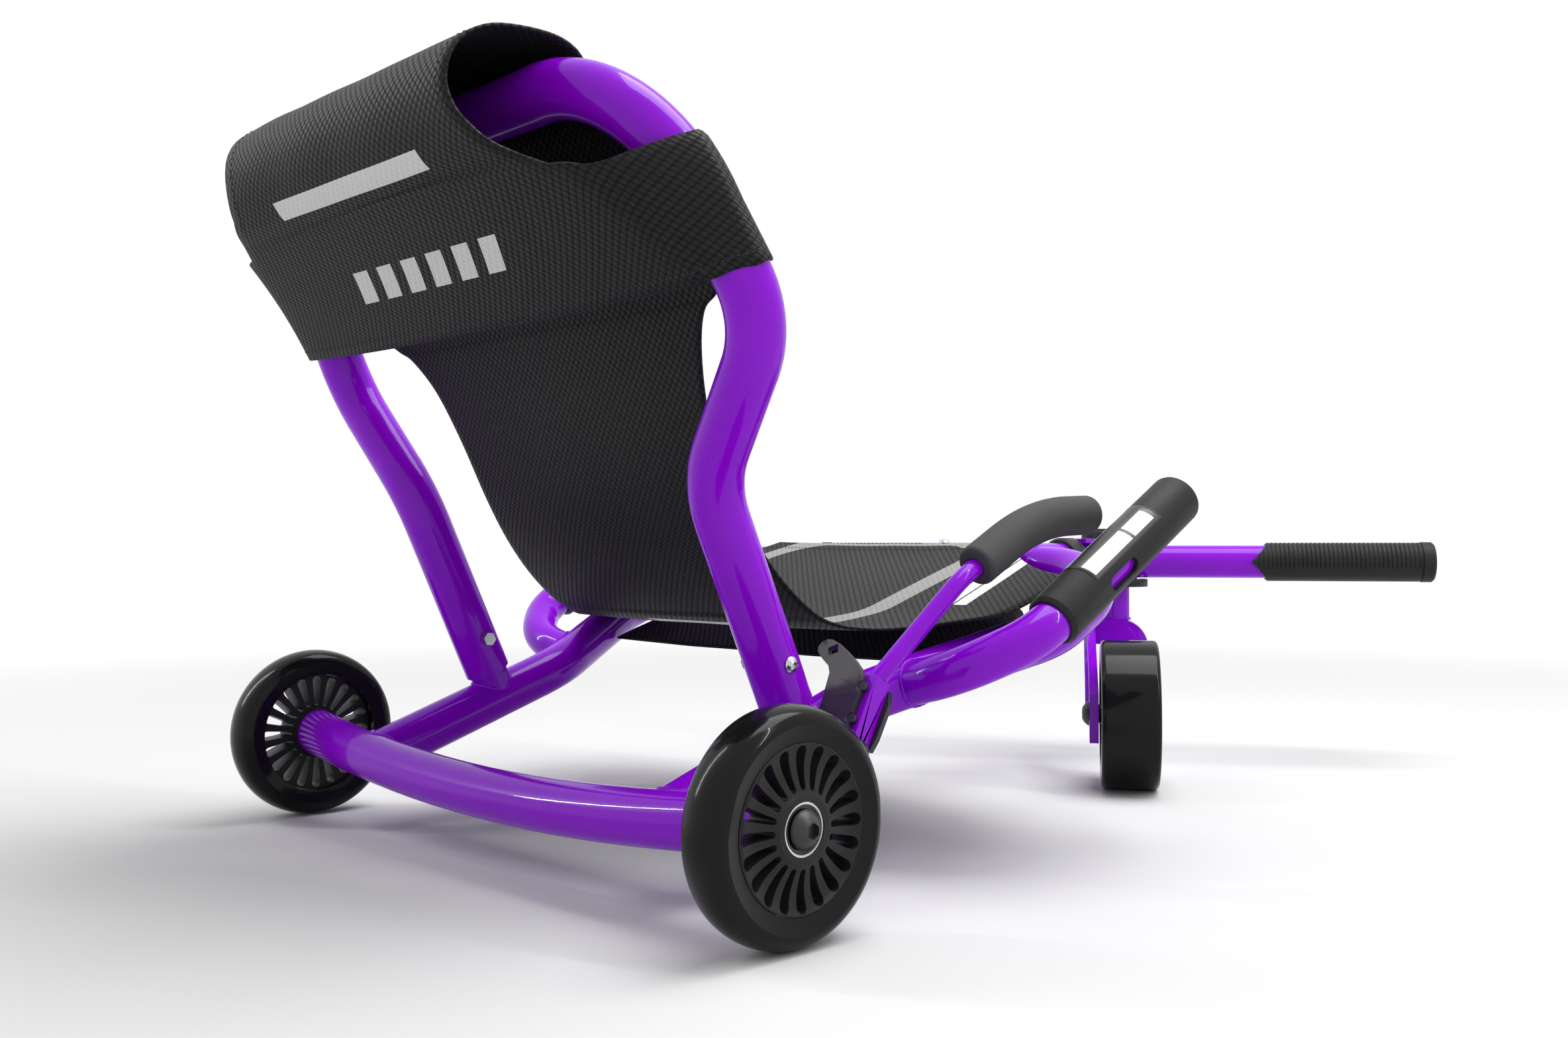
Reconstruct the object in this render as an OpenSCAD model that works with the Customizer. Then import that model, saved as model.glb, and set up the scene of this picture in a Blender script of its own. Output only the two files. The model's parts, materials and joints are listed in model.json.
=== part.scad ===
// Sit-down scooter: fabric seat on a bent tube frame, two fixed rear wheels, and a steered front
// wheel turned by the rider's feet. X points to the rider's right, Y forward and Z up.
// Lengths along Y are written from the rear axle's centre line, and from_axle() moves them so
// that the origin is on the ground under the middle of the whole scooter.

/* [Wheels] */
// Diameter of the three wheels
wheel_d = 125; // [123:0.5:126]
// Width of a rear tyre
rear_tyre_w = 31.2; // [29:0.2:32]
// Width of the front tyre
front_tyre_w = 47.5; // [44:0.5:48]
// Distance between the middles of the rear wheels
track = 522.4; // [520:0.2:526]
// Number of slots through a wheel hub
slot_count = 20; // [12:2:22]
// Radius where a hub slot ends
slot_r_out = 41.2; // [38:0.2:41.4]

/* [Tubes] */
// Diameter of the frame tubes
frame_tube_d = 33.4; // [32:0.1:33.6]
// Diameter of the hand loops, the stubs and the steering tube
thin_tube_d = 28.6; // [27:0.1:28.6]
// Diameter of the boom
boom_d = 35; // [34:0.5:36]
// Diameter of the foot bar
foot_bar_d = 31.4; // [30:0.1:31.6]

/* [Steering] */
// Angle of the foot bar in the rest pose, turned to the rider's left
steer_rest = 34.5; // [20:0.5:40]
// Distance from the steering axis back to the front wheel's axle
trail = 201; // [196:1:206]
// Half the length of the foot bar over its grips
foot_bar_half = 293.4; // [285:0.2:296]
// Number of ribs on a foot grip
grip_ribs = 28; // [16:1:30]

/* [Seat] */
// Thickness of the seat cloth
cloth_t = 2.4; // [2:0.1:2.6]
// Half the width of the cloth where it wraps the front cross tube
hem_half = 130; // [100:5:135]

/* [Brake] */
// Gap between the brake shoe and the tyre at rest
shoe_gap = 2.8; // [2.6:0.1:4]
// Diameter of the brake lever's foam handle
handle_d = 27; // [24:1:28]

/* [Hidden] */
$fn = 64;

paint = [0.48, 0.05, 0.82];
black = [0.07, 0.07, 0.08];
grey = [0.2, 0.2, 0.21];
steel = [0.75, 0.76, 0.78];

// Middle of the scooter's length, ahead of the rear axle
mid_y = 380.8;
wheel_r = wheel_d / 2;
frame_r = frame_tube_d / 2;
thin_r = thin_tube_d / 2;
boom_r = boom_d / 2;
foot_bar_r = foot_bar_d / 2;
fit = 0.05;
far = 400;

// Bearings of 12 x 28 x 8 mm, and the bolts through them
bearing_bore_r = 6;
bearing_r = 14;
bearing_w = 8;
axle_r = bearing_bore_r - fit;
bearing_in = -8.4;
bearing_out = 5.6;

// Rear axle: one arc, whose middle hangs below and behind its ends
axle_half = 252;
axle_droop = 16.4;
axle_back = 4.4;

// Centre lines of the frame's right half, from the rear axle
rail_pts = [[165.7, 4.8, 54.6], [165.3, 161.8, 108.8], [229.2, 279.9, 147.7], [215, 383, 188], [143, 383, 188]];
rail_bends = [0, 86, 59, 80, 0];
cross_y = 383;
cross_z = 188;
loop_pts = [[179, 187.2, 115.7], [226.4, 183.4, 127.4], [262.6, 213.4, 148.9], [270, 365.4, 237.7]];
loop_bends = [0, 61, 49, 0];
back_pts = [[164.8, 104.7, 87.9], [164.5, 32.9, 242.2], [231.5, 14.8, 325.9], [201.4, -53.6, 458.8], [-201.4, -53.6, 458.8],
            [-231.5, 14.8, 325.9], [-164.5, 32.9, 242.2], [-164.8, 104.7, 87.9]];
back_bends = [0, 67.6, 62.3, 97, 97, 62.3, 67.6, 0];
back_gap = 24;
socket_len = 60;
screw_at = 52;

// Boom and head
boom_z = 190;
boom_start = 412;
boom_end = 660;
stub_end = 560;
head_y = 707;
bar_z = 189.4;
plate_t = 4;
head_r = 31.8;
head_low = 165;
head_high = 221.5;
shell_t = 3;
window_half = 79;

// Fork, in the steered frame: x to its right, y forward, from the steering axis
fork_wheel_x = 6;
arm_out = -27;
arm_in = -19.4;
crown_top = 133.3;

// Brake lever
pivot_y = 107.2;
pivot_z = 83.6;
pivot_r = 4;
yoke_lean = 29;
yoke_low = [105, 94.7];
yoke_x0 = 184.6;
yoke_x1 = 212;
yoke_deep = 14.5;
shoe_mid = 24;
shoe_span = 24;
rod_pts = [[205.5, 129, 123], [225, 188, 185], [225, 265, 224], [225, 317, 226.2]];
rod_bends = [0, 50, 170, 0];
handle_pts = [[225, 202, 192.1], [225, 265, 224], [225, 326, 226.6]];
handle_bends = [0, 170, 0];

// Seat cloth: stations from the top of the backrest to the front cross tube, each [y, z, half width]
sling_pts = [[-31.5, 466, 142], [-29, 452, 150], [-20, 432, 178], [-9, 412, 196], [5, 385, 200], [17, 363, 193],
             [25.3, 350, 179], [28.6, 341, 163.3], [39.4, 318, 148.4], [54, 283, 138.5], [74, 240, 135],
             [93, 210, 136.3], [114, 185, 138], [137, 165, 140], [156, 154.5, 143], [175, 150, 156],
             [192, 151, 180], [214, 156, 208], [232, 160.5, 225], [262, 170, 229], [298, 181.5, 226],
             [316, 187, 192], [336, 193, 163], [358, 200, 141], [375, 206.5, 130]];
under_pts = [[236, 126, 185], [262, 134, 187], [300, 146, 184], [330, 155, 168], [352, 161.5, 142], [374, 169, 130]];
// Loop of the pocket over the top bar, seen from the side, each [y, z, half width]
sleeve_pts = [[-34.2, 461, 141], [-35, 472, 140], [-44, 481.5, 140], [-60, 485.5, 139], [-90, 484, 138], [-109, 479, 138],
              [-119.5, 469, 137], [-123.8, 455, 138], [-120.5, 437, 140], [-111, 421, 150], [-96, 408, 163]];
hem_z = 341;
band_top = 402;

// Point of the rear axle's centre line at x
function axle_at(x) = [x, -axle_back * (1 - pow(x / axle_half, 2)), wheel_r - axle_droop * (1 - pow(x / axle_half, 2))];

// Vector helpers
function unit(v) = v / norm(v);
function lerp(a, b, t) = a + (b - a) * t;
function turn(a, b) = acos(max(-1, min(1, unit(a) * unit(b))));
function arc(cx, cy, r, a0, a1, n) = [for (i = [0:n]) let (a = lerp(a0, a1, i / n)) [cx + r * cos(a), cy + r * sin(a)]];
// Distance from a corner to where its bend starts
function cut(p, bends, i) =
    (i == 0 || i == len(p) - 1) ? 0 : bends[i] * tan(turn(p[i] - p[i - 1], p[i + 1] - p[i]) / 2);
function mirror_x(p) = [for (q = p) [-q[0], q[1], q[2]]];
// Smooth curve through stations, with n steps between two of them
function spline(p, n) = concat(
    [for (i = [0:len(p) - 2]) for (k = [0:n - 1])
        let (a = p[max(i - 1, 0)], b = p[i], c = p[i + 1], d = p[min(i + 2, len(p) - 1)], t = k / n)
        0.5 * (2 * b + (c - a) * t + (2 * a - 5 * b + 4 * c - d) * t * t + (3 * b - a - 3 * c + d) * t * t * t)],
    [p[len(p) - 1]]);

module from_axle() {
    translate([0, -mid_y, 0]) children();
}

// Puts Z along d and X as near as can be to side
module aim(at, d, side = [1, 0, 0]) {
    z = unit(d);
    y = unit(cross(z, side));
    x = cross(y, z);
    multmatrix([[x[0], y[0], z[0], at[0]], [x[1], y[1], z[1], at[1]], [x[2], y[2], z[2], at[2]], [0, 0, 0, 1]])
        children();
}

module rod_between(a, b, r) {
    aim(a, b - a, abs(unit(b - a)[0]) > 0.9 ? [0, 1, 0] : [1, 0, 0]) cylinder(r = r, h = norm(b - a));
}

// Straight runs and round bends of one tube, with a hair-thin collar where two of them meet
module run(p, bends, r) {
    last = len(p) - 1;
    lap = 0.5;
    skin = 0.04;
    for (i = [0:last - 1]) {
        d = unit(p[i + 1] - p[i]);
        start = p[i] + d * (cut(p, bends, i) + (i > 0 ? lap : 0));
        end = p[i + 1] - d * (cut(p, bends, i + 1) + (i < last - 1 ? lap : 0));
        rod_between(start, end, r);
        if (i > 0) rod_between(start - d * 3 * lap, start + d * lap, r + skin);
        if (i < last - 1) rod_between(end - d * lap, end + d * 3 * lap, r + skin);
    }
    for (i = [1:last - 1]) {
        d = unit(p[i] - p[i - 1]);
        n = unit(cross(d, p[i + 1] - p[i]));
        out = cross(d, n);
        centre = p[i] - d * cut(p, bends, i) - out * bends[i];
        trim = lap * 180 / (PI * bends[i]);
        multmatrix([[out[0], d[0], n[0], centre[0]], [out[1], d[1], n[1], centre[1]],
                    [out[2], d[2], n[2], centre[2]], [0, 0, 0, 1]])
            rotate([0, 0, trim]) rotate_extrude(angle = turn(d, p[i + 1] - p[i]) - 2 * trim)
                translate([bends[i], 0]) circle(r = r);
    }
}

// Wheels: built around X with the outer face towards +X
module on_x() {
    rotate([0, 90, 0]) children();
}

module tyre(w) {
    half = w / 2;
    shoulder = 9;
    crown = 0.9 * w;
    su = half - shoulder;
    cx = wheel_r - crown;
    sx = cx + sqrt(pow(crown - shoulder, 2) - su * su);
    a = atan2(su, sx - cx);
    side = concat([[44.1, half], [sx, half]], [for (q = arc(sx, su, shoulder, 90, a, 6)) q],
                  [for (q = arc(cx, 0, crown, a, 0, 5)) q]);
    on_x() rotate_extrude() polygon(concat(side, [for (i = [len(side) - 2:-1:0]) [side[i][0], -side[i][1]]]));
}

// One slot: a teardrop whose middle line bows sideways, wide at the rim
module slot() {
    r_in = 20.5;
    steps = 6;
    function mid(t) = lerp(r_in, slot_r_out - 4.6, t);
    function bow(t) = 3.4 * sin(180 * t);
    function wide(t) = lerp(2.3, 4.6, t);
    function at(t, s) = let (r = mid(t), a = bow(t)) [r * cos(a) - s * wide(t) * sin(a), r * sin(a) + s * wide(t) * cos(a)];
    tip = [for (q = arc(mid(1), 0, wide(1), -75, 75, 6)) q];
    heel = [for (q = arc(mid(0), 0, wide(0), 105, 255, 4)) q];
    polygon(concat([for (i = [0:steps]) at(i / steps, -1)], tip, [for (i = [steps:-1:0]) at(i / steps, 1)], heel));
}

module hub(web_low, web_high) {
    on_x() difference() {
        rotate_extrude() polygon([
            [bearing_r + 0.01, bearing_in - 0.1], [17, bearing_in - 0.1], [18.5, web_low], [43.8, web_low], [43.8, web_high],
            [42.3, web_high + 0.7], [18.6, web_high + 0.7], [17.4, bearing_out + bearing_w + 0.5],
            [bearing_r + 0.01, bearing_out + bearing_w + 0.5], [bearing_r + 0.01, bearing_out],
            [12, bearing_out], [12, bearing_in + bearing_w], [bearing_r + 0.01, bearing_in + bearing_w]]);
        for (i = [0:slot_count - 1])
            rotate([0, 0, (i + 0.5) * 360 / slot_count]) translate([0, 0, web_low - 1])
                linear_extrude(web_high - web_low + 3) slot();
    }
}

// Two bearings and the sleeve between their inner rings
module bearings() {
    on_x() {
        for (u = [bearing_in, bearing_out])
            translate([0, 0, u]) rotate_extrude() polygon([
                [6, 0], [8.4, 0], [8.4, 0.5], [11.6, 0.5], [11.6, 0], [bearing_r, 0], [bearing_r, bearing_w],
                [11.6, bearing_w], [11.6, bearing_w - 0.5], [8.4, bearing_w - 0.5], [8.4, bearing_w], [6, bearing_w]]);
        translate([0, 0, bearing_in + bearing_w]) rotate_extrude()
            translate([6, 0]) square([2.2, bearing_out - bearing_in - bearing_w]);
    }
}

// Round button head with a hexagon recess, its flat face on the plane z = 0
module button_head(r, h, key) {
    dome = (r * r + h * h) / (2 * h);
    difference() {
        intersection() {
            translate([0, 0, h - dome]) sphere(r = dome);
            cylinder(r = r, h = h);
        }
        translate([0, 0, h * 0.4]) cylinder(r = key, h = h, $fn = 6);
    }
}

module rear_wheel_at(side) {
    from_axle() translate([side * track / 2, 0, wheel_r]) mirror([side < 0 ? 1 : 0, 0, 0]) children();
}

module rear_tyre(side) {
    color(black) rear_wheel_at(side) tyre(rear_tyre_w);
}

module rear_hub(side) {
    color(black) rear_wheel_at(side) hub(-6, 12.8);
}

module rear_bearings(side) {
    color(steel) rear_wheel_at(side) bearings();
}

// Rear axle
module axle_arc(r) {
    sag = norm([axle_droop, axle_back]);
    bend = (axle_half * axle_half + sag * sag) / (2 * sag);
    half_angle = asin(axle_half / bend) + 1;
    tilt = atan2(axle_back, axle_droop);
    translate([0, 0, wheel_r]) rotate([-tilt, 0, 0]) translate([0, 0, bend - sag]) rotate([90, 0, 0])
        rotate([0, 0, -90 - half_angle]) rotate_extrude(angle = 2 * half_angle, $fn = 1200)
            translate([bend, 0]) circle(r = r, $fn = 64);
}

module axle_tube() {
    color(paint) from_axle() difference() {
        intersection() {
            axle_arc(frame_r);
            translate([-axle_half, -60, 0]) cube([2 * axle_half, 120, 120]);
        }
        for (side = [-1, 1]) translate([side * (axle_half - 35), 0, wheel_r]) on_x()
            cylinder(r = 8.5, h = 80, center = true);
    }
}

// Threaded sleeves welded in the tube's ends, each with a collar against the bearing
module axle_sleeves() {
    color(steel) from_axle() for (side = [-1, 1]) mirror([side < 0 ? 1 : 0, 0, 0])
        translate([axle_half - 70, 0, wheel_r]) on_x() rotate_extrude()
            polygon([[6, 0], [8.45, 0], [8.45, 70], [8.3, 70.7], [6, 70.7]]);
}

module rear_axle_bolts() {
    head_at = bearing_out + bearing_w + 0.9;
    color(black) from_axle() for (side = [-1, 1]) mirror([side < 0 ? 1 : 0, 0, 0])
        translate([track / 2, 0, wheel_r]) on_x() {
            translate([0, 0, -70]) cylinder(r = axle_r, h = 70 + head_at);
            translate([0, 0, head_at - 0.8]) cylinder(r = 8, h = 0.8);
            translate([0, 0, head_at]) button_head(10.6, 6.6, 4.4);
        }
}

// Frame tubes: each end that is welded on another tube is cut to fit round it
module weld_cut(side) {
    x = rail_pts[0][0];
    d = axle_at(x + 1) - axle_at(x - 1);
    mirror([side < 0 ? 1 : 0, 0, 0]) rod_between(axle_at(x) - d * 20, axle_at(x) + d * 20, frame_r + 0.1);
}

module rail(side) {
    p = side > 0 ? rail_pts : mirror_x(rail_pts);
    color(paint) from_axle() difference() {
        run(p, rail_bends, frame_r);
        weld_cut(side);
        if (side > 0) translate([140, pivot_y, pivot_z]) on_x() cylinder(r = 7.05, h = 50);
    }
}

module front_cross_tube() {
    color(paint) from_axle() translate([0, cross_y, cross_z]) on_x() cylinder(r = frame_r, h = 285.8, center = true);
}

module hand_loop(side) {
    p = side > 0 ? loop_pts : mirror_x(loop_pts);
    q = side > 0 ? rail_pts : mirror_x(rail_pts);
    color(paint) from_axle() difference() {
        run([p[0], p[1], p[2], p[3] - unit(p[3] - p[2]) * 8], loop_bends, thin_r);
        rod_between(q[1], q[2], frame_r + 0.02);
    }
}

// Hand grips: a sleeve in two shells that close on the loop's straight end
grip_r = 17.7;
grip_len = 161;

module grip_solid() {
    cap = 4.5;
    window_from = 50.5;
    window_len = 22;
    difference() {
        rotate_extrude() polygon(concat(
            [[thin_r + fit, 0], [grip_r - 2, 0], [grip_r, 3], [grip_r, grip_len - cap]],
            [for (q = arc(grip_r - cap, grip_len - cap, cap, 0, 90, 6)) q],
            [[0, grip_len], [0, grip_len - 7], [thin_r + fit, grip_len - 7]]));
        // Oblong window in the outer side
        translate([0, 0, window_from]) rotate([0, 0, 3]) {
            for (h = [0, window_len]) translate([10, 0, h]) on_x() cylinder(r = 5, h = 20);
            translate([10, -5, 0]) cube([20, 10, window_len]);
        }
    }
}

module grip_half(side, top) {
    p = loop_pts;
    d = unit(p[3] - p[2]);
    seam = 0.1;
    color(grey) from_axle() mirror([side < 0 ? 1 : 0, 0, 0])
        aim(p[3] - d * (grip_len - 2), d, [1, 0, 0]) difference() {
            grip_solid();
            rotate([0, 0, -10]) translate([-far / 2, top ? -seam : -far + seam, -1]) cube([far, far, far]);
        }
}

// Backrest
module back_axis(s) {
    d = unit(back_pts[1] - back_pts[0]);
    aim(back_pts[0] + d * s, d, [1, 0, 0]) children();
}

module each_side() {
    for (side = [0, 1]) mirror([side, 0, 0]) children();
}

module back_stubs() {
    color(paint) from_axle() each_side() difference() {
        back_axis(0) cylinder(r = thin_r, h = back_gap + socket_len - 4);
        rod_between(rail_pts[0], rail_pts[1], frame_r + 0.02);
        back_axis(screw_at) on_x() cylinder(r = 3.05, h = 60, center = true);
    }
}

module back_tube() {
    first = unit(back_pts[1] - back_pts[0]) * back_gap;
    p = [for (i = [0:len(back_pts) - 1])
        i == 0 ? back_pts[0] + first : i == len(back_pts) - 1 ? back_pts[i] + [-first[0], first[1], first[2]] : back_pts[i]];
    color(paint) from_axle() difference() {
        run(p, back_bends, frame_r);
        each_side() {
            back_axis(back_gap - 1) cylinder(r = thin_r + fit, h = socket_len + 1);
            back_axis(screw_at) on_x() cylinder(r = 3.05, h = 60, center = true);
        }
    }
}

module back_screws() {
    color(steel) from_axle() each_side() back_axis(screw_at) on_x() {
        translate([0, 0, -frame_r - 1]) cylinder(r = 3, h = 2 * frame_r + 2);
        translate([0, 0, frame_r + 0.3]) button_head(5, 3, 1.9);
        translate([0, 0, -frame_r - 5.6]) cylinder(r = 5.2, h = 5, $fn = 6);
    }
}

// Boom and head
module boom_axis(y) {
    translate([0, y, boom_z]) rotate([-90, 0, 0]) children();
}

module boom_stub() {
    color(paint) from_axle() difference() {
        boom_axis(cross_y + 6) cylinder(r = thin_r, h = stub_end - cross_y - 6);
        translate([0, cross_y, cross_z]) on_x() cylinder(r = frame_r + 0.02, h = 80, center = true);
        translate([0, 445, boom_z]) cylinder(r = 3.05, h = 60, center = true);
    }
}

module boom_tube() {
    color(paint) from_axle() difference() {
        boom_axis(boom_start) cylinder(r = boom_r, h = boom_end - boom_start);
        boom_axis(boom_start - 1) cylinder(r = thin_r + fit, h = stub_end - boom_start + 12);
        translate([0, 445, boom_z]) cylinder(r = 3.05, h = 60, center = true);
    }
}

module boom_screw() {
    color(steel) from_axle() translate([0, 445, boom_z]) {
        translate([0, 0, -boom_r - 5]) cylinder(r = 3, h = 2 * boom_r + 6);
        translate([0, 0, boom_r + 0.4]) button_head(5, 3, 1.9);
        translate([0, 0, -boom_r - 5.2]) cylinder(r = 5.2, h = 4.8, $fn = 6);
    }
}

module head_plate_outline(r) {
    union() {
        circle(r = r);
        translate([-boom_r, -75]) square([2 * boom_r, 75]);
    }
}

module head_plates() {
    color(paint) from_axle() translate([0, head_y, 0]) {
        difference() {
            translate([0, 0, boom_z + boom_r + 0.02]) linear_extrude(plate_t) head_plate_outline(22);
            cylinder(r = 8, h = far);
        }
        difference() {
            translate([0, 0, boom_z - boom_r - plate_t - 0.02]) linear_extrude(plate_t) head_plate_outline(25);
            cylinder(r = 17, h = far);
        }
    }
}

module steering_bushes() {
    color(black) from_axle() translate([0, head_y, 0]) {
        translate([0, 0, boom_z + boom_r]) rotate_extrude() polygon([
            [5.05, -1.2], [10, -1.2], [10, -0.1], [7.95, -0.1], [7.95, plate_t + 0.1], [5.05, plate_t + 0.1]]);
        translate([0, 0, boom_z - boom_r - plate_t]) rotate_extrude() polygon([
            [thin_r + fit, -1.5], [20, -1.5], [20, -0.1], [16.95, -0.1], [16.95, plate_t], [thin_r + fit, plate_t]]);
    }
}

module head_shell() {
    difference() {
        union() {
            translate([0, head_y, head_low]) cylinder(r = head_r, h = head_high - head_low - 4);
            translate([0, head_y, head_high - 4]) cylinder(r1 = head_r, r2 = head_r - 4, h = 4);
            boom_axis(616) cylinder(r = 22.4, h = head_y - 616);
            boom_axis(613) cylinder(r1 = 20.4, r2 = 22.4, h = 3);
        }
        translate([0, head_y, head_low - 1]) cylinder(r = head_r - shell_t, h = head_high - head_low - shell_t);
        translate([-20.6, head_y - 77, boom_z - 22]) cube([41.2, 60, 44]);
        boom_axis(600) cylinder(r = boom_r + 0.3, h = head_y - 600);
        // Windows that the foot bar swings through
        for (side = [0, 1]) mirror([side, 0, 0]) translate([0, head_y, bar_z]) rotate([0, 0, -window_half])
            rotate_extrude(angle = 2 * window_half) translate([12, -foot_bar_r - 1.4]) square([40, foot_bar_d + 2.8]);
    }
}

module head_cover(top) {
    color(black) from_axle() difference() {
        head_shell();
        translate([-far / 2, 500, top ? -far + bar_z + 0.1 : bar_z - 0.1]) cube([far, far, far]);
    }
}

// Steered parts
module steered() {
    from_axle() translate([0, head_y, 0]) rotate([0, 0, steer_rest]) children();
}

module steering_tube() {
    color(paint) steered() difference() {
        translate([0, 0, crown_top]) cylinder(r = thin_r, h = bar_z - crown_top);
        translate([0, 0, bar_z]) on_x() cylinder(r = foot_bar_r + 0.02, h = 80, center = true);
    }
}

module foot_bar() {
    color(paint) steered() difference() {
        translate([0, 0, bar_z]) on_x() cylinder(r = foot_bar_r, h = 2 * foot_bar_half - 10, center = true);
        translate([0, 0, bar_z]) cylinder(r = 5, h = 40);
    }
}

module steering_bolt() {
    color(black) steered() {
        translate([0, 0, bar_z + 1]) cylinder(r = 4.98, h = boom_z + boom_r + plate_t - bar_z - 0.4);
        translate([0, 0, boom_z + boom_r + plate_t + 0.3]) button_head(8.5, 4.6, 2.9);
    }
}

// Foot grip: a ribbed sleeve with a flange at its end and a mouth cut to a point
module foot_grip(side) {
    tip = 128;
    end = foot_bar_half;
    ribs_from = 152;
    ribs_to = 280;
    pitch = (ribs_to - ribs_from) / grip_ribs;
    outer = 18.5;
    root = 17.6;
    ribs = [for (i = [0:grip_ribs - 1]) each [[root, ribs_from + i * pitch], [outer, ribs_from + (i + 0.2) * pitch],
            [outer, ribs_from + (i + 0.6) * pitch], [root, ribs_from + (i + 0.8) * pitch]]];
    color(black) steered() rotate([0, 0, side < 0 ? 180 : 0]) translate([0, 0, bar_z]) on_x() difference() {
        rotate_extrude() polygon(concat(
            [[foot_bar_r + fit, tip], [outer - 0.4, tip], [outer, tip + 2], [outer, ribs_from - 2]], ribs,
            [[root, ribs_to], [19, ribs_to + 2], [19, end - 2], [17.6, end], [0, end], [0, end - 4.8],
             [foot_bar_r + fit, end - 4.8]]));
        for (s = [-1, 1]) translate([0, 0, tip - 1]) rotate([s * 52, 0, 0]) translate([-30, s > 0 ? 0 : -60, -70]) cube([60, 60, 70]);
    }
}

module crown_arch(out) {
    // Flat top, upright left side and a quarter ellipse on the right
    w = 27 - out;
    h = 26 - out;
    polygon(concat([[arm_out + out, 60], [arm_out + out, crown_top - out]],
                   [for (a = [90:-9:0]) [4 + w * cos(a), crown_top - 26 + h * sin(a)]], [[4 + w, 60]]));
}

module fork_crown() {
    color(paint) steered() difference() {
        translate([0, 17, 0]) rotate([90, 0, 0]) linear_extrude(34) difference() {
            crown_arch(0);
            crown_arch(5);
            translate([-60, 0]) square([120, 107]);
            translate([-60, 0]) square([60 + arm_in + 0.02, 200]);
        }
    }
    color(paint) steered() translate([0, -14, 0]) rotate([90, 0, 0]) linear_extrude(3) difference() {
        crown_arch(5.02);
        translate([-60, 0]) square([120, 109]);
        translate([-60, 0]) square([60 + arm_in + 0.02, 200]);
    }
}

module fork_arm() {
    axle_y = -trail;
    color(paint) steered() difference() {
        union() {
            translate([arm_out, 0, 0]) rotate([90, 0, 90]) linear_extrude(arm_in - arm_out) polygon([
                [17, crown_top], [-20, crown_top], [axle_y - 21, 81], [axle_y - 21, 40], [axle_y + 20, 40],
                [-60, 96], [17, 100]]);
            // Stiffener plate along the outside of the arm
            translate([arm_out - 3, 0, 0]) rotate([90, 0, 90]) linear_extrude(3.1) polygon([
                [-30, 118], [-30, 106], [-150, 62.5], [-160, 70], [-150, 85]]);
        }
        translate([0, axle_y, wheel_r]) on_x() cylinder(r = 6.02, h = 100, center = true);
    }
}

module front_wheel_at() {
    steered() translate([fork_wheel_x, -trail, wheel_r]) children();
}

module front_axle_bolt() {
    arm_face = arm_out - fork_wheel_x;
    color(black) front_wheel_at() {
        translate([arm_face - 1, 0, 0]) on_x() cylinder(r = axle_r, h = 24 - arm_face);
        translate([arm_face - 0.2, 0, 0]) rotate([0, -90, 0]) button_head(10.6, 6.6, 4.4);
        translate([arm_in - fork_wheel_x + 0.2, 0, 0]) on_x() cylinder(r = 8, h = bearing_in - (arm_in - fork_wheel_x) - 0.4 - 6);
        translate([19.8, 0, 0]) on_x() cylinder(r = 10.4, h = 6, $fn = 6);
    }
}

// The front wheel's bearings sit further apart than the rear ones
module front_hub() {
    color(black) front_wheel_at() on_x() difference() {
        rotate_extrude() polygon([
            [bearing_r + 0.01, -14.6], [17, -14.6], [18.5, -12], [43.8, -12], [43.8, 15], [18.6, 15.7], [17.4, 19.6],
            [bearing_r + 0.01, 19.6], [bearing_r + 0.01, 11.5], [12, 11.5], [12, -6.5], [bearing_r + 0.01, -6.5]]);
        for (i = [0:slot_count - 1]) rotate([0, 0, i * 360 / slot_count]) translate([0, 0, -16]) linear_extrude(40) slot();
    }
}

module front_bearings() {
    color(steel) front_wheel_at() on_x() {
        for (u = [-14.5, 11.5]) translate([0, 0, u]) rotate_extrude() polygon([
            [6, 0], [8.4, 0], [8.4, 0.5], [11.6, 0.5], [11.6, 0], [bearing_r, 0], [bearing_r, bearing_w],
            [11.6, bearing_w], [11.6, bearing_w - 0.5], [8.4, bearing_w - 0.5], [8.4, bearing_w], [6, bearing_w]]);
        translate([0, 0, -6.5]) rotate_extrude() translate([6, 0]) square([2.2, 18]);
    }
}

module front_tyre() {
    half = front_tyre_w / 2;
    color(black) front_wheel_at() on_x() rotate_extrude() polygon(concat(
        [[44.1, -half], [wheel_r - 4, -half]], [for (q = arc(wheel_r - 4, 4 - half, 4, -90, 0, 5)) q],
        [for (q = arc(wheel_r - 4, half - 4, 4, 0, 90, 5)) q], [[44.1, half]]));
}

// Brake lever, in the plane of its yoke: x across, y up the lean, z out of the rear face
module yoke_frame() {
    from_axle() multmatrix([[1, 0, 0, 0], [0, sin(yoke_lean), -cos(yoke_lean), yoke_low[0]],
                            [0, cos(yoke_lean), sin(yoke_lean), yoke_low[1]], [0, 0, 0, 1]]) children();
}

module at_pivot(x) {
    from_axle() translate([x, pivot_y, pivot_z]) on_x() children();
}

// Heights up the yoke of the two fasteners through each plate
rivet_s = [8.9, 29.5];

module brake_yoke() {
    wall = 2.6;
    pivot_s = -8.63;
    color(paint) yoke_frame() difference() {
        union() {
            translate([yoke_x0, pivot_s, -yoke_deep]) cube([yoke_x1 - yoke_x0, 38.9 - pivot_s, yoke_deep]);
            translate([yoke_x0, pivot_s, -yoke_deep / 2]) on_x() cylinder(r = yoke_deep / 2, h = yoke_x1 - yoke_x0);
        }
        translate([yoke_x0 + wall, -18, -yoke_deep - 1]) cube([yoke_x1 - yoke_x0 - 2 * wall, 54, yoke_deep + 1 - wall]);
        translate([yoke_x0 - 1, pivot_s, -yoke_deep / 2]) on_x() cylinder(r = pivot_r + fit, h = 40);
    }
}

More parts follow.
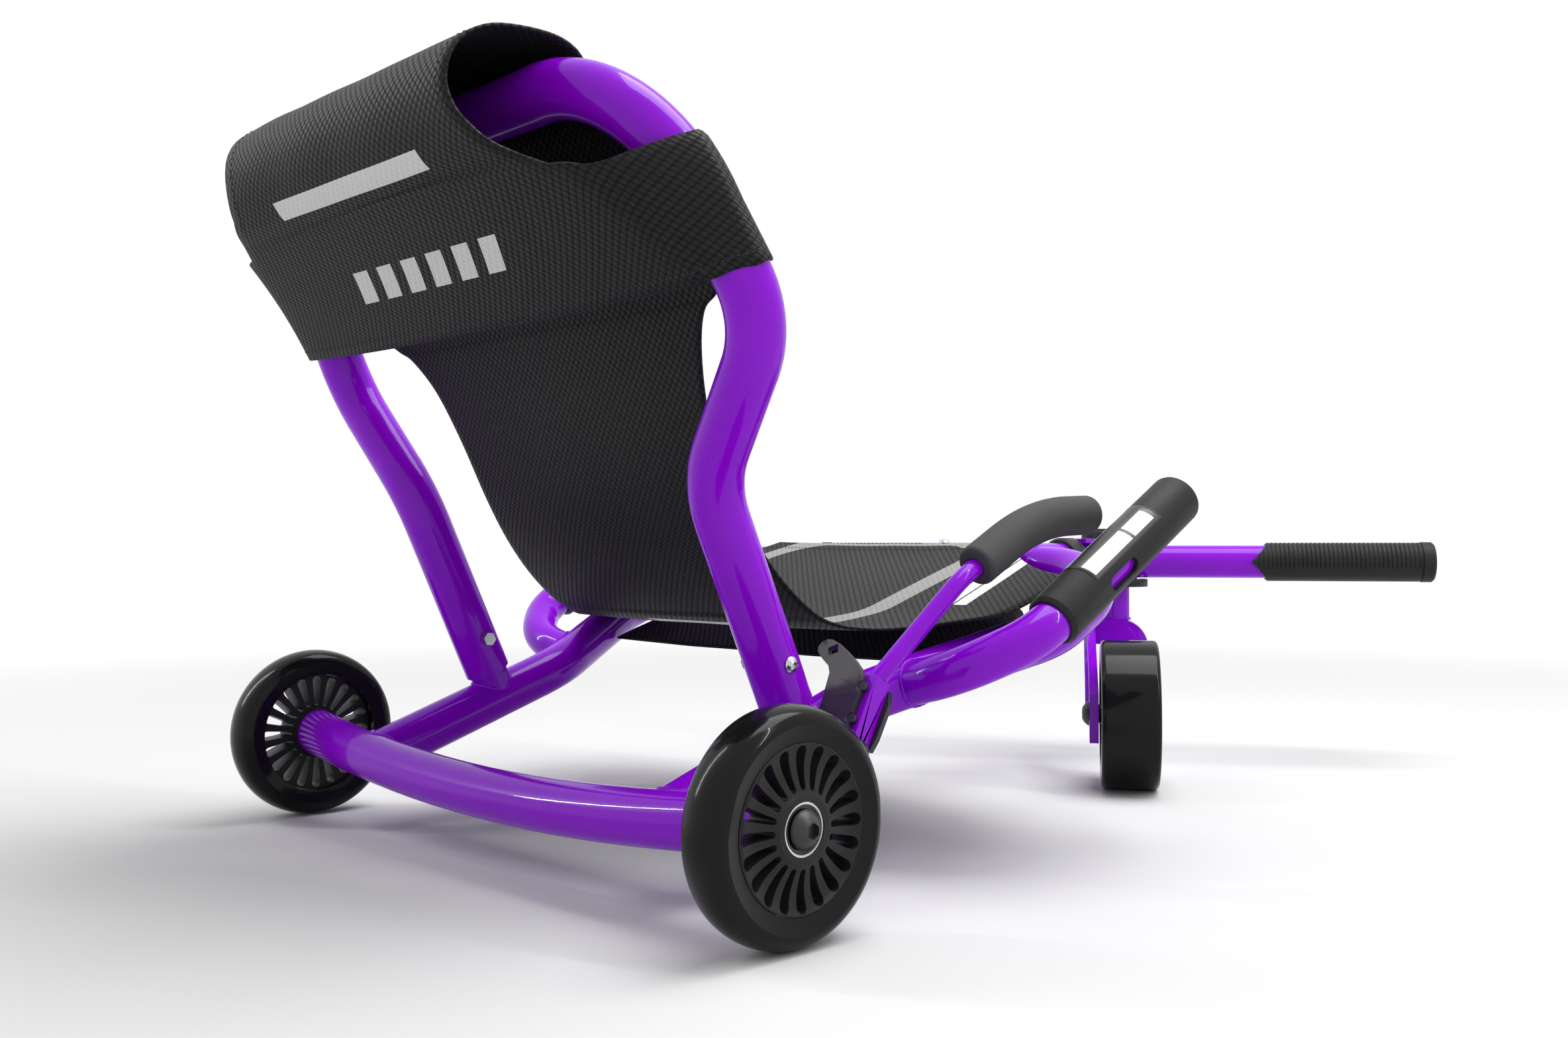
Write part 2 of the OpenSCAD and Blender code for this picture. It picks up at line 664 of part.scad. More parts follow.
// The bolt turns with the lever in a sleeve through the rail
module brake_pivot_bolt() {
    color(black) {
        at_pivot(134.6) cylinder(r = pivot_r, h = yoke_x1 - 134.6 + 0.6);
        at_pivot(yoke_x1 + 0.5) button_head(8.4, 5.4, 3.6);
        at_pivot(132) cylinder(r = 7, h = 5, $fn = 6);
    }
}

module brake_sleeve() {
    start = 147.9;
    color(steel) at_pivot(start) difference() {
        cylinder(r = 7, h = yoke_x0 - start - 0.4);
        translate([0, 0, -1]) cylinder(r = pivot_r + fit, h = 60);
    }
}

module brake_rod() {
    color(paint) from_axle() difference() {
        run(rod_pts, rod_bends, 5.8);
        translate([0, yoke_low[0], yoke_low[1]]) rotate([-yoke_lean, 0, 0]) translate([150, -60, -20]) cube([100, 120, 58.95]);
    }
}

module brake_handle() {
    color(black) from_axle() difference() {
        run(handle_pts, handle_bends, handle_d / 2);
        run(rod_pts, rod_bends, 5.85);
    }
}

module brake_hook_plate() {
    hook = [[185, -13], [185, 6], [180.4, 10.6], [177.6, 36], [174.5, 40.5], [167, 45],
            [161.4, 49.3], [160.2, 52.6], [161.6, 56], [165.4, 58.1], [169.6, 58.2], [176, 56.2], [184.5, 51.8],
            [194, 46.2], [201, 41], [205.6, 35.8], [207.6, 29.7], [207.2, -13]];
    color(black) yoke_frame() translate([0, 0, 0.1]) linear_extrude(4) difference() {
        polygon(hook);
        translate([171.5, 47]) rotate([0, 0, 25]) square([7.5, 5.5]);
        for (t = rivet_s) translate([207, t]) circle(r = 3.05);
    }
}

module brake_front_plate() {
    color(black) yoke_frame() translate([0, 0, -yoke_deep - 3.6]) linear_extrude(3.5) polygon([
        [187, -4], [213.6, -4], [215.4, 4], [215.8, 26], [212.6, 34.5], [206, 37], [187, 37]]);
}

module brake_rivets() {
    color(black) yoke_frame() for (t = rivet_s) {
        translate([207, t, 0.1]) cylinder(r = 3, h = 3.4);
        translate([209.5, t - 3, -yoke_deep - 3.7]) mirror([0, 0, 1]) button_head(3.4, 1.8, 1.2);
    }
}

// Shoe: a block whose face follows the tyre, on an arm from the foot of the hook plate
module shoe_arc(r0, r1, x0, x1, a0, a1) {
    from_axle() translate([0, 0, wheel_r]) rotate([90, 0, 90]) rotate([0, 0, a0]) translate([0, 0, x0])
        rotate_extrude(angle = a1 - a0) translate([r0, 0]) square([r1 - r0, x1 - x0]);
}

module brake_shoe() {
    r = wheel_r + shoe_gap;
    color(black) shoe_arc(r, r + 6.5, 228, 251, shoe_mid - shoe_span / 2, shoe_mid + shoe_span / 2);
}

module brake_shoe_arm() {
    r = wheel_r + shoe_gap + 6.6;
    low = shoe_mid - 10;
    high = shoe_mid + 10;
    color(black) {
        shoe_arc(r, r + 4, 201, 250, low, high);
        difference() {
            from_axle() translate([201, 0, 0]) rotate([90, 0, 90]) linear_extrude(4) polygon([
                [69, 81.5], [96, 76], [104, 82], [104, 98], [98, 102], [64.5, 96]]);
            yoke_frame() translate([150, -40, -40]) cube([100, 100, 44.15]);
            shoe_arc(50, r, 190, 260, 0, 60);
        }
    }
}

// Torsion spring around the pivot bolt's inner end
module brake_spring() {
    turns = 4;
    ring = 12;
    sides = 6;
    coil_r = 5.8;
    wire_r = 0.8;
    pitch = 2.2;
    steps = turns * ring;
    function point(i, k) = let (a = 360 * i / ring, r = coil_r + wire_r * cos(360 * k / sides))
        [r * cos(a), r * sin(a), pitch * i / ring + wire_r * sin(360 * k / sides)];
    color(steel) at_pivot(138) polyhedron(
        points = [for (i = [0:steps]) for (k = [0:sides - 1]) point(i, k)],
        faces = concat(
            [[for (k = [0:sides - 1]) k]],
            [for (i = [0:steps - 1]) for (k = [0:sides - 1]) let (j = (k + 1) % sides) each [
                [i * sides + k, (i + 1) * sides + k, (i + 1) * sides + j], [i * sides + k, (i + 1) * sides + j, i * sides + j]]],
            [[for (k = [sides - 1:-1:0]) steps * sides + k]]));
}

// Cloth between two edges, along stations of [y, z, half width]; across it has cols faces
module cloth(p, n, cols, sign = 1) {
    s = spline(p, n);
    last = len(s) - 1;
    w = cols + 1;
    function normal(i) = let (a = s[max(i - 1, 0)], b = s[min(i + 1, last)], d = unit([b[0] - a[0], b[1] - a[1]])) [-d[1], d[0]];
    function point(i, j, layer) = let (q = [s[i][0], s[i][1]] + normal(i) * layer * cloth_t * sign)
        [s[i][2] * (2 * j / cols - 1), q[0], q[1]];
    total = (last + 1) * w;
    function id(i, j, layer) = layer * total + i * w + j;
    flip = sign < 0;
    function quad(a, b, c, d) = flip ? [[a, c, b], [a, d, c]] : [[a, b, c], [a, c, d]];
    from_axle() polyhedron(
        points = concat([for (i = [0:last]) for (j = [0:cols]) point(i, j, 0)],
                        [for (i = [0:last]) for (j = [0:cols]) point(i, j, 1)]),
        faces = concat(
            [for (i = [0:last - 1]) for (j = [0:cols - 1]) each quad(id(i, j, 0), id(i, j + 1, 0), id(i + 1, j + 1, 0), id(i + 1, j, 0))],
            [for (i = [0:last - 1]) for (j = [0:cols - 1]) each quad(id(i, j, 1), id(i + 1, j, 1), id(i + 1, j + 1, 1), id(i, j + 1, 1))],
            [for (i = [0:last - 1]) each quad(id(i, 0, 0), id(i + 1, 0, 0), id(i + 1, 0, 1), id(i, 0, 1))],
            [for (i = [0:last - 1]) each quad(id(i, cols, 0), id(i, cols, 1), id(i + 1, cols, 1), id(i + 1, cols, 0))],
            [for (j = [0:cols - 1]) each quad(id(0, j, 0), id(0, j, 1), id(0, j + 1, 1), id(0, j + 1, 0))],
            [for (j = [0:cols - 1]) each quad(id(last, j, 0), id(last, j + 1, 0), id(last, j + 1, 1), id(last, j, 1))]));
}

module seat_sling() {
    color(black) cloth(sling_pts, 2, 8);
}

module under_panel() {
    color(black) cloth(under_pts, 2, 6);
}

// The cloth's turn around the front cross tube, open in the middle for the boom
module front_hem() {
    color(black) from_axle() each_side() translate([26, cross_y, cross_z]) rotate([90, 0, 90]) rotate([0, 0, -98])
        rotate_extrude(angle = 196) translate([frame_r + 0.4, 0]) square([cloth_t, hem_half - 26]);
}

// Pocket: a band around both back tubes, and a loose loop over the top bar
module back_pocket() {
    levels = 5;
    wrap_r = frame_r + cloth_t + 0.8;
    // Height over the rear hem as a share of the band's own
    function share(z) = (z - hem_z) / (band_top - hem_z);
    function rear(z) = -22 - 0.936 * (z - hem_z) - 9 * pow(share(z), 2);
    function middle(z) = 22 - 0.485 * (z - hem_z);
    function flat_x(z) = 214 - 0.62 * (z - hem_z);
    // The tube's centre at height z, and how far it leans there
    function tube_at(z) = let (t = share(z)) [227.3 - 10.3 * t - 3.5 * t * t, 6.9 - 31.2 * t];
    function lean(z) = [-0.11 - 0.24 * share(z), -0.54];
    // Level section of the cloth round the leaning tube
    function wrap(z, a) = let (d = [cos(a), sin(a)], k = lean(z), n = unit(k))
        tube_at(z) + wrap_r * (d + (sqrt(1 + k * k) - 1) * (d * n) * n);
    function corner(z) = [lerp(flat_x(z), 249.5 - 0.1 * (z - hem_z), 0.65 - 0.1 * share(z)), rear(z) + 8 + 5 * share(z)];
    function right(z) = let (c = corner(z), w = wrap(z, -10)) concat(
        [[0, rear(z)], [flat_x(z) * 0.5, rear(z)], [flat_x(z), rear(z) + 0.5], c, (c + w) / 2 + [1.2, -0.6]],
        [for (a = [-10:22.5:80]) wrap(z, a)], [[192, middle(z) + 0.6], [90, middle(z)]]);
    function ring(z) = let (h = right(z)) concat(h, [[0, middle(z)]], [for (i = [len(h) - 1:-1:1]) [-h[i][0], h[i][1]]]);
    n = len(ring(hem_z));
    // The hem rises from the rear towards the front
    rise = [0, 0, 2, 5, 9, 12, 15, 17, 18, 18, 18, 18, 18];
    function hem(i) = hem_z + rise[i < len(rise) ? i : n - i];
    function out(g, i) = let (d = unit(g[(i + 1) % n] - g[(i + n - 1) % n])) [d[1], -d[0]];
    function point(l, i, layer) = let (z = lerp(hem(i), band_top, l / levels), g = ring(z), q = g[i] - out(g, i) * cloth_t * layer)
        [q[0], q[1], z];
    total = (levels + 1) * n;
    function id(l, i, layer) = layer * total + l * n + i % n;
    function quad(a, b, c, d) = [[a, c, b], [a, d, c]];
    color(black) {
        cloth(sleeve_pts, 2, 6, -1);
        from_axle() polyhedron(
            points = [for (layer = [0, 1]) for (l = [0:levels]) for (i = [0:n - 1]) point(l, i, layer)],
            faces = concat(
                [for (l = [0:levels - 1]) for (i = [0:n - 1])
                    each quad(id(l, i, 0), id(l, i + 1, 0), id(l + 1, i + 1, 0), id(l + 1, i, 0))],
                [for (l = [0:levels - 1]) for (i = [0:n - 1])
                    each quad(id(l, i, 1), id(l + 1, i, 1), id(l + 1, i + 1, 1), id(l, i + 1, 1))],
                [for (i = [0:n - 1]) each quad(id(0, i, 0), id(0, i, 1), id(0, i + 1, 1), id(0, i + 1, 0))],
                [for (i = [0:n - 1]) each quad(id(levels, i, 0), id(levels, i + 1, 0), id(levels, i + 1, 1), id(levels, i, 1))]));
    }
}

axle_tube();
axle_sleeves();
rear_axle_bolts();
rear_tyre(-1);  // left_rear_tyre
rear_hub(-1);  // left_rear_hub
rear_bearings(-1);  // left_rear_bearings
rear_tyre(1);  // right_rear_tyre
rear_hub(1);  // right_rear_hub
rear_bearings(1);  // right_rear_bearings
rail(-1);  // left_rail
rail(1);  // right_rail
front_cross_tube();
hand_loop(-1);  // left_hand_loop
hand_loop(1);  // right_hand_loop
grip_half(-1, false);  // left_grip_lower
grip_half(-1, true);  // left_grip_upper
grip_half(1, false);  // right_grip_lower
grip_half(1, true);  // right_grip_upper
back_stubs();
back_tube();
back_screws();
boom_stub();
boom_tube();
boom_screw();
head_plates();
steering_bushes();
head_cover(true);  // head_cover_upper
head_cover(false);  // head_cover_lower
steering_tube();
foot_bar();
steering_bolt();
foot_grip(-1);  // left_foot_grip
foot_grip(1);  // right_foot_grip
fork_crown();
fork_arm();
front_axle_bolt();
front_tyre();
front_hub();
front_bearings();
brake_pivot_bolt();
brake_sleeve();
brake_yoke();
brake_rod();
brake_handle();
brake_hook_plate();
brake_front_plate();
brake_rivets();
brake_shoe();
brake_shoe_arm();
brake_spring();
seat_sling();
front_hem();
under_panel();
back_pocket();
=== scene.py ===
# %% [markdown]
# # A sit-down scooter, dressed for the camera
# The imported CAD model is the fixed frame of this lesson: it has every hard part at its true
# place, in metres, with X to the rider's right, Y forward and Z up. This script adds the cloth,
# the foam, finer wheels and foot grips, the weld beads and the printed bars, and gives every
# part a finish of shader nodes.

# %% Load the fixed frame
import json
import math

import bmesh
import bpy
from mathutils import Matrix, Vector, noise


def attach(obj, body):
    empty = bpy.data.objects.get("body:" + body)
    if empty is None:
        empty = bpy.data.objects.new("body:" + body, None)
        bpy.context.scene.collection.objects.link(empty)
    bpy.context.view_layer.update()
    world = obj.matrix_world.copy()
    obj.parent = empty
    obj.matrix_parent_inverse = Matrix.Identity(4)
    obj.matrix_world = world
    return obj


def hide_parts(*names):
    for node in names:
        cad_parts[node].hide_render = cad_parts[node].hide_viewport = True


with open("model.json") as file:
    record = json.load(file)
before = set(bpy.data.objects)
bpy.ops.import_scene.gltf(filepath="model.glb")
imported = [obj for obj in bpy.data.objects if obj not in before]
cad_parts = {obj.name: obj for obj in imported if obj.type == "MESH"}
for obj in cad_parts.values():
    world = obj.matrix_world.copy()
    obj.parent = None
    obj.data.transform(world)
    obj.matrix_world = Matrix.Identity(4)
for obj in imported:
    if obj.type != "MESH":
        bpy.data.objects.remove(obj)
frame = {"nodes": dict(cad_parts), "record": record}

nodes = frame["nodes"]
scene = bpy.context.scene
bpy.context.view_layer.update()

# %% [markdown]
# ## Where things are
# The CAD source measures lengths along Y from the rear axle and in millimetres, because that is
# where a maker would put the tape. A small helper turns such a point into metres in the frame,
# and another puts a new object into the scene.

# %% Points measured from the rear axle
MM = 0.001
MID_Y = 380.8


def at(x, y, z):
    """A point given in millimetres from the rear axle's centre line, as metres in the frame."""
    return Vector((x, y - MID_Y, z)) * MM


def add_object(name, data):
    """A new object in the scene that shows a mesh, a camera or a lamp."""
    made = bpy.data.objects.new(name, data)
    scene.collection.objects.link(made)
    return made


print("rear axle's middle in the frame:", tuple(round(c, 4) for c in at(0, 0, 62.5)))

# %% [markdown]
# ## The camera
# The view is from behind the scooter on its right and low down, through a slightly wide lens
# three quarters of a metre from the nearest wheel. Its place and aim were solved from the wheels,
# which are three circles of one size, and from the straight axle line.

# %% Camera
CAMERA_PLACE = (0.7898, -0.8956, 0.20675)
CAMERA_TILT = math.radians(90.99)
CAMERA_TURN = math.radians(45.81)
camera = add_object("camera", bpy.data.cameras.new("camera"))
camera.location = CAMERA_PLACE
camera.rotation_euler = (CAMERA_TILT, 0.0, CAMERA_TURN)
camera.data.sensor_width = 36.0
camera.data.lens = 33.02
scene.camera = camera
scene.view_settings.view_transform = "Standard"
print("camera lens:", camera.data.lens, "mm")

# %% [markdown]
# ## A short way to write shader nodes
# Shader trees are easier to read as sums than as lists of nodes and links. This helper adds a
# node, and links or sets each of its inputs, so a wear mask or a weave reads like arithmetic.

# %% Shader helper


class Graph:
    """A node tree, with a method for each kind of step that the finishes use."""

    def __init__(self, tree):
        self.tree = tree

    def add(self, kind, inputs=None, **settings):
        node = self.tree.nodes.new("ShaderNode" + kind)
        for name, value in settings.items():
            setattr(node, name, value)
        for name, value in (inputs or {}).items():
            self.feed(node.inputs[name], value)
        return node

    def feed(self, socket, value):
        if isinstance(value, bpy.types.NodeSocket):
            self.tree.links.new(value, socket)
        else:
            socket.default_value = value

    def call(self, kind, operation, values):
        """The outputs of a math node of either kind, with its inputs fed in order."""
        node = self.add(kind, operation=operation)
        for socket, value in zip(node.inputs, values):
            self.feed(socket, value)
        return node.outputs

    def math(self, operation, *values):
        return self.call("Math", operation, values)[0]

    def times(self, first, second):
        return self.math("MULTIPLY", first, second)

    def plus(self, first, second):
        return self.math("ADD", first, second)

    def minus(self, first, second):
        return self.math("SUBTRACT", first, second)

    def vector(self, operation, *values):
        """Only the length is taken as a number here. All other results are vectors."""
        return self.call("VectorMath", operation, values)["Value" if operation == "LENGTH" else "Vector"]

    def mix(self, share, first, second):
        inputs = {"Factor": share, "A": first, "B": second}
        return self.add("Mix", inputs, data_type="RGBA").outputs["Result"]

    def span(self, value, low, high, to_low=0.0, to_high=1.0):
        """Moves a value from one range to another, and stops at its ends."""
        return self.add("MapRange", {"Value": value, "From Min": low, "From Max": high,
                                     "To Min": to_low, "To Max": to_high}).outputs["Result"]

    def noise(self, place, scale, detail=2.0):
        return self.add("TexNoise", {"Vector": place, "Scale": scale, "Detail": detail}).outputs["Fac"]

    def split(self, vector):
        node = self.add("SeparateXYZ", {"Vector": vector})
        return node.outputs["X"], node.outputs["Y"], node.outputs["Z"]


def linear(red, green, blue):
    """A colour written as on a screen, 0 to 255, as the linear values that shaders take."""
    def one(c):
        c /= 255
        return c / 12.92 if c <= 0.04045 else ((c + 0.055) / 1.055) ** 2.4
    return (one(red), one(green), one(blue), 1.0)


def grey(level):
    return linear(level, level, level)


def node_group(name, takes, gives):
    """A shader node group with named sockets. Returns its tree, a Graph on it, and its two ends."""
    tree = bpy.data.node_groups.new(name, "ShaderNodeTree")
    for socket, (kind, value) in takes.items():
        made = tree.interface.new_socket(name=socket, in_out="INPUT", socket_type="NodeSocket" + kind)
        if value is not None:
            made.default_value = value
    for socket, kind in gives.items():
        tree.interface.new_socket(name=socket, in_out="OUTPUT", socket_type="NodeSocket" + kind)
    graph = Graph(tree)
    return graph, tree.nodes.new("NodeGroupInput").outputs, tree.nodes.new("NodeGroupOutput").inputs


def use_group(graph, name, inputs):
    node = graph.tree.nodes.new("ShaderNodeGroup")
    node.node_tree = bpy.data.node_groups[name]
    for socket, value in inputs.items():
        graph.feed(node.inputs[socket], value)
    return node.outputs


def opened(material):
    """A Graph on a material's tree, and its shader's inputs."""
    tree = material.node_tree
    return Graph(tree), tree.nodes["Principled BSDF"].inputs


def new_material(name):
    """A new material, a Graph on its tree, and its shader's inputs."""
    material = bpy.data.materials.new(name)
    material.use_nodes = True
    return material, *opened(material)


def feed_shader(graph, shader, colour, roughness, height, relief):
    """Gives a shader its colour, its roughness, and bumps that are relief metres high."""
    graph.feed(shader["Base Color"], colour)
    graph.feed(shader["Roughness"], roughness)
    bump = graph.add("Bump", {"Strength": 1.0, "Distance": relief, "Height": height})
    graph.feed(shader["Normal"], bump.outputs["Normal"])


print("shader helper ready")

# %% [markdown]
# ## Grain
# Every hard surface has a fine grain: orange peel in powder paint, the spark texture of a
# moulded grip, the pores of foam. One group serves them all. It gives a height for the bump, a
# colour that drifts a little over the surface, and a roughness that does the same, because a
# single flat value is what makes a surface look like plastic in a render.

# %% Group: grain
graph, takes, gives = node_group("grain", {
    "Base": ("Color", (0.5, 0.5, 0.5, 1.0)),
    "Worn": ("Color", (0.6, 0.6, 0.6, 1.0)),
    "Grain Scale": ("Float", 900.0),
    "Drift Scale": ("Float", 18.0),
    "Smooth": ("Float", 0.2),
    "Rough": ("Float", 0.4),
}, {"Color": "Color", "Roughness": "Float", "Height": "Float"})
place = graph.add("TexCoord").outputs["Object"]
drift = graph.span(graph.noise(place, takes["Drift Scale"], 4.0), 0.35, 0.7)
fine = graph.noise(place, takes["Grain Scale"], 2.0)
graph.feed(gives["Color"], graph.mix(graph.times(drift, 0.5), takes["Base"], takes["Worn"]))
both = graph.plus(graph.times(drift, 0.7), graph.times(fine, 0.3))
reach = graph.minus(takes["Rough"], takes["Smooth"])
rough = graph.math("MULTIPLY_ADD", both, reach, takes["Smooth"])
graph.feed(gives["Roughness"], rough)
graph.feed(gives["Height"], fine)
print("group grain:", len(graph.tree.nodes), "nodes")

# %% [markdown]
# ## Dust and rubbing
# Dust settles on what faces up, and rolling and handling leave fine rubbed marks. The group
# gives a mask for each, and a material decides what they do to its colour and its roughness.

# %% Group: use marks
graph, takes, gives = node_group("use_marks", {
    "Dust": ("Float", 0.2),
    "Rub": ("Float", 0.2),
    "Rub Scale": ("Float", 60.0),
}, {"Dust": "Float", "Rub": "Float"})
place = graph.add("TexCoord").outputs["Object"]
up = graph.split(graph.add("NewGeometry").outputs["Normal"])[2]
patches = graph.span(graph.noise(place, 35.0, 5.0), 0.45, 0.75)
settled = graph.times(graph.span(up, 0.1, 0.9), patches)
graph.feed(gives["Dust"], graph.times(settled, takes["Dust"]))
stretched = graph.vector("MULTIPLY", place, (1.0, 0.25, 1.0))
marks = graph.span(graph.noise(stretched, takes["Rub Scale"], 8.0), 0.6, 0.68)
graph.feed(gives["Rub"], graph.times(marks, takes["Rub"]))
print("group use_marks:", len(graph.tree.nodes), "nodes")

# %% [markdown]
# ## Weave
# The seat is a coated mesh cloth of yarns about three millimetres wide, which pass over and
# under each other. Each cloth piece carries its own thread coordinates, in metres along and
# across the cloth as it was cut, so the yarns follow every curve and never stretch. Where a
# yarn passes over it is high, and its colour is lighter there, a painted highlight; between the
# yarns the colour is darker, a painted shade.

# %% Group: weave
graph, takes, gives = node_group("weave", {
    "Thread": ("Vector", None),
    "Yarn": ("Color", (0.02, 0.02, 0.02, 1.0)),
    "Gap": ("Color", (0.004, 0.004, 0.004, 1.0)),
    "Pitch": ("Float", 0.0029),
}, {"Color": "Color", "Height": "Float", "Roughness": "Float"})
across, along, _ = graph.split(takes["Thread"])
s = graph.math("DIVIDE", across, takes["Pitch"])
t = graph.math("DIVIDE", along, takes["Pitch"])


def half_turns(value):
    return graph.math("SINE", graph.times(value, math.pi))


def yarn(own, other):
    """Height of the yarns that lie side by side along own: round across, and up and down along."""
    round_top = graph.math("POWER", graph.math("ABSOLUTE", half_turns(own)), 0.3)
    phase = graph.plus(other, graph.math("FLOOR", own))
    wave = graph.math("MULTIPLY_ADD", half_turns(phase), 0.5, 0.5)
    return graph.times(round_top, graph.math("POWER", wave, 0.4))


warp = yarn(s, t)
weft = yarn(t, s)
height = graph.math("MAXIMUM", warp, weft)
# tops marks the yarns' high places: below, they get the yarn colour as a painted highlight, and the low
# places between them a painted shade
tops = graph.span(height, 0.4, 0.86)
# The yarns along the cloth are drawn lighter than those across it
warp_over = graph.span(graph.minus(warp, weft), -0.15, 0.15, 0.74, 1.18)
tone = graph.span(graph.noise(takes["Thread"], 130.0, 3.0), 0.3, 0.7, 0.75, 1.15)
tinted = graph.vector("SCALE", takes["Yarn"])
graph.feed(tinted.node.inputs["Scale"], graph.times(tone, warp_over))
# Painted highlight and shade: yarn colour on the tops, a darker painted shade in the gaps
graph.feed(gives["Color"], graph.mix(tops, takes["Gap"], tinted))
graph.feed(gives["Height"], height)
graph.feed(gives["Roughness"], graph.span(tops, 0.0, 1.0, 0.75, 0.46))
print("group weave:", len(graph.tree.nodes), "nodes")

# %% [markdown]
# ## Printed bands
# Plain bars and a plain ring are printed on the cloth and on the grips. A bar is a rectangle
# whose ends may lean, and the ring is a rounded frame. Both are masks in thread coordinates, so
# the print lies in the cloth and bends with it.

# %% Groups: printed bar and printed ring
graph, takes, gives = node_group("printed_bar", {
    "Thread": ("Vector", None),
    "Middle": ("Vector", (0.0, 0.0, 0.0)),
    "Half": ("Vector", (0.05, 0.005, 0.0)),
    "Lean": ("Float", 0.0),
}, {"Mask": "Float"})
dx, dy, _ = graph.split(graph.vector("SUBTRACT", takes["Thread"], takes["Middle"]))
half_x, half_y, _ = graph.split(takes["Half"])
leaned = graph.minus(dx, graph.times(dy, takes["Lean"]))
in_x = graph.math("LESS_THAN", graph.math("ABSOLUTE", leaned), half_x)
in_y = graph.math("LESS_THAN", graph.math("ABSOLUTE", dy), half_y)
graph.feed(gives["Mask"], graph.times(in_x, in_y))

graph, takes, gives = node_group("printed_ring", {
    "Thread": ("Vector", None),
    "Middle": ("Vector", (0.0, 0.0, 0.0)),
    "Core": ("Vector", (0.05, 0.05, 0.0)),
    "Radius": ("Float", 0.04),
    "Width": ("Float", 0.02),
}, {"Mask": "Float"})
offset = graph.vector("ABSOLUTE", graph.vector("SUBTRACT", takes["Thread"], takes["Middle"]))
outside = graph.vector("MAXIMUM", graph.vector("SUBTRACT", offset, takes["Core"]), (0.0, 0.0, 0.0))
from_line = graph.math("ABSOLUTE", graph.minus(graph.vector("LENGTH", outside), takes["Radius"]))
graph.feed(gives["Mask"], graph.math("LESS_THAN", from_line, graph.times(takes["Width"], 0.5)))
print("groups printed_bar and printed_ring ready")

# %% [markdown]
# ## Finishes for hard parts
# All hard parts share one recipe: a Principled shader whose colour, roughness and bump come
# from the grain group, with dust and rubbing over it. What makes paint, steel, rubber and foam
# differ is their numbers, so a table of plain values per finish is clearer than nine trees.

# %% Hard finishes


DRIFT_SCALE = 18.0
DUST = linear(150, 146, 140)


def hard_finish(name, base, worn, smooth, rough, grain_scale, bump, metallic=0.0, specular=0.5,
                coat=0.0, coat_rough=0.05, dust=0.15, rub=0.15):
    """A material from the grain and use_marks groups. bump is the grain's height in metres."""
    material, graph, shader = new_material(name)
    shader["Metallic"].default_value = metallic
    shader["Specular IOR Level"].default_value = specular
    shader["Coat Weight"].default_value = coat
    shader["Coat Roughness"].default_value = coat_rough
    grain = use_group(graph, "grain", {"Base": base, "Worn": worn, "Grain Scale": grain_scale,
                                       "Drift Scale": DRIFT_SCALE, "Smooth": smooth, "Rough": rough})
    marks = use_group(graph, "use_marks", {"Dust": dust, "Rub": rub})
    dusty = graph.mix(marks["Dust"], grain["Color"], DUST)
    scuffed = graph.plus(grain["Roughness"], graph.times(marks["Rub"], 0.3))
    rough_dust = graph.plus(scuffed, graph.times(marks["Dust"], 0.4))
    feed_shader(graph, shader, dusty, rough_dust, grain["Height"], bump)
    return material


# A name, two colours, the lowest and highest roughness, and the scale and height of the grain
finishes = {
    "paint": hard_finish("violet_powder_paint", linear(136, 5, 205), linear(144, 8, 216), 0.16, 0.26,
                         1100.0, 0.000012, specular=0.06, coat=0.3, coat_rough=0.015, dust=0.0, rub=0.05),
    "steel": hard_finish("zinc_plated_steel", linear(196, 198, 202), linear(168, 170, 176), 0.16, 0.34,
                         2600.0, 0.00003, metallic=1.0, dust=0.05, rub=0.3),
    "black_metal": hard_finish("black_oxide_steel", linear(34, 33, 36), linear(46, 45, 48), 0.28, 0.46,
                               2000.0, 0.00005, dust=0.08, rub=0.3),
    "tyre": hard_finish("cast_tyre", linear(17, 17, 18), linear(22, 22, 23), 0.14, 0.26, 700.0,
                        0.00002, specular=0.08, coat=0.16, coat_rough=0.03, dust=0.0, rub=0.25),
    "hub": hard_finish("moulded_hub", linear(28, 28, 29), linear(35, 35, 36), 0.34, 0.5, 2600.0,
                       0.00005, specular=0.2, dust=0.01, rub=0.1),
    "grip": hard_finish("moulded_grip", grey(36), grey(43), 0.4, 0.56, 3200.0,
                        0.00010, specular=0.15, dust=0.01, rub=0.15),
    "foam": hard_finish("foam_sleeve", grey(62), grey(78), 0.62, 0.8, 1500.0,
                        0.00022, specular=0.25, dust=0.02, rub=0.1),
    "shoe": hard_finish("brake_shoe_rubber", linear(26, 26, 27), linear(38, 37, 37), 0.5, 0.7, 1800.0,
                        0.0001, dust=0.2, rub=0.3),
    "cover": hard_finish("moulded_cover", linear(34, 34, 35), linear(42, 42, 43), 0.38, 0.52, 2800.0,
                         0.00009, specular=0.2, dust=0.01, rub=0.12),
}
print("hard finishes:", len(finishes))

# %% [markdown]
# ## Cloth finish
# The cloth is the weave group under a print. The print fills the yarns' tops and part of the
# gaps, and lies smoother than bare yarn, so its mask also drives the roughness. Each cloth
# piece gets its own material, because each has its own print, and the weave is shared.

# %% Cloth finish
PRINT_WHITE = grey(238)
PRINT_GREY = linear(150, 150, 148)
YARN = linear(31, 31, 32)
# The colour between the yarns is a painted shade, darker than the yarn
PAINTED_GAP_SHADE = linear(7, 7, 8)
CLOTH_DUST = linear(120, 118, 115)
YARN_RELIEF = 0.0005


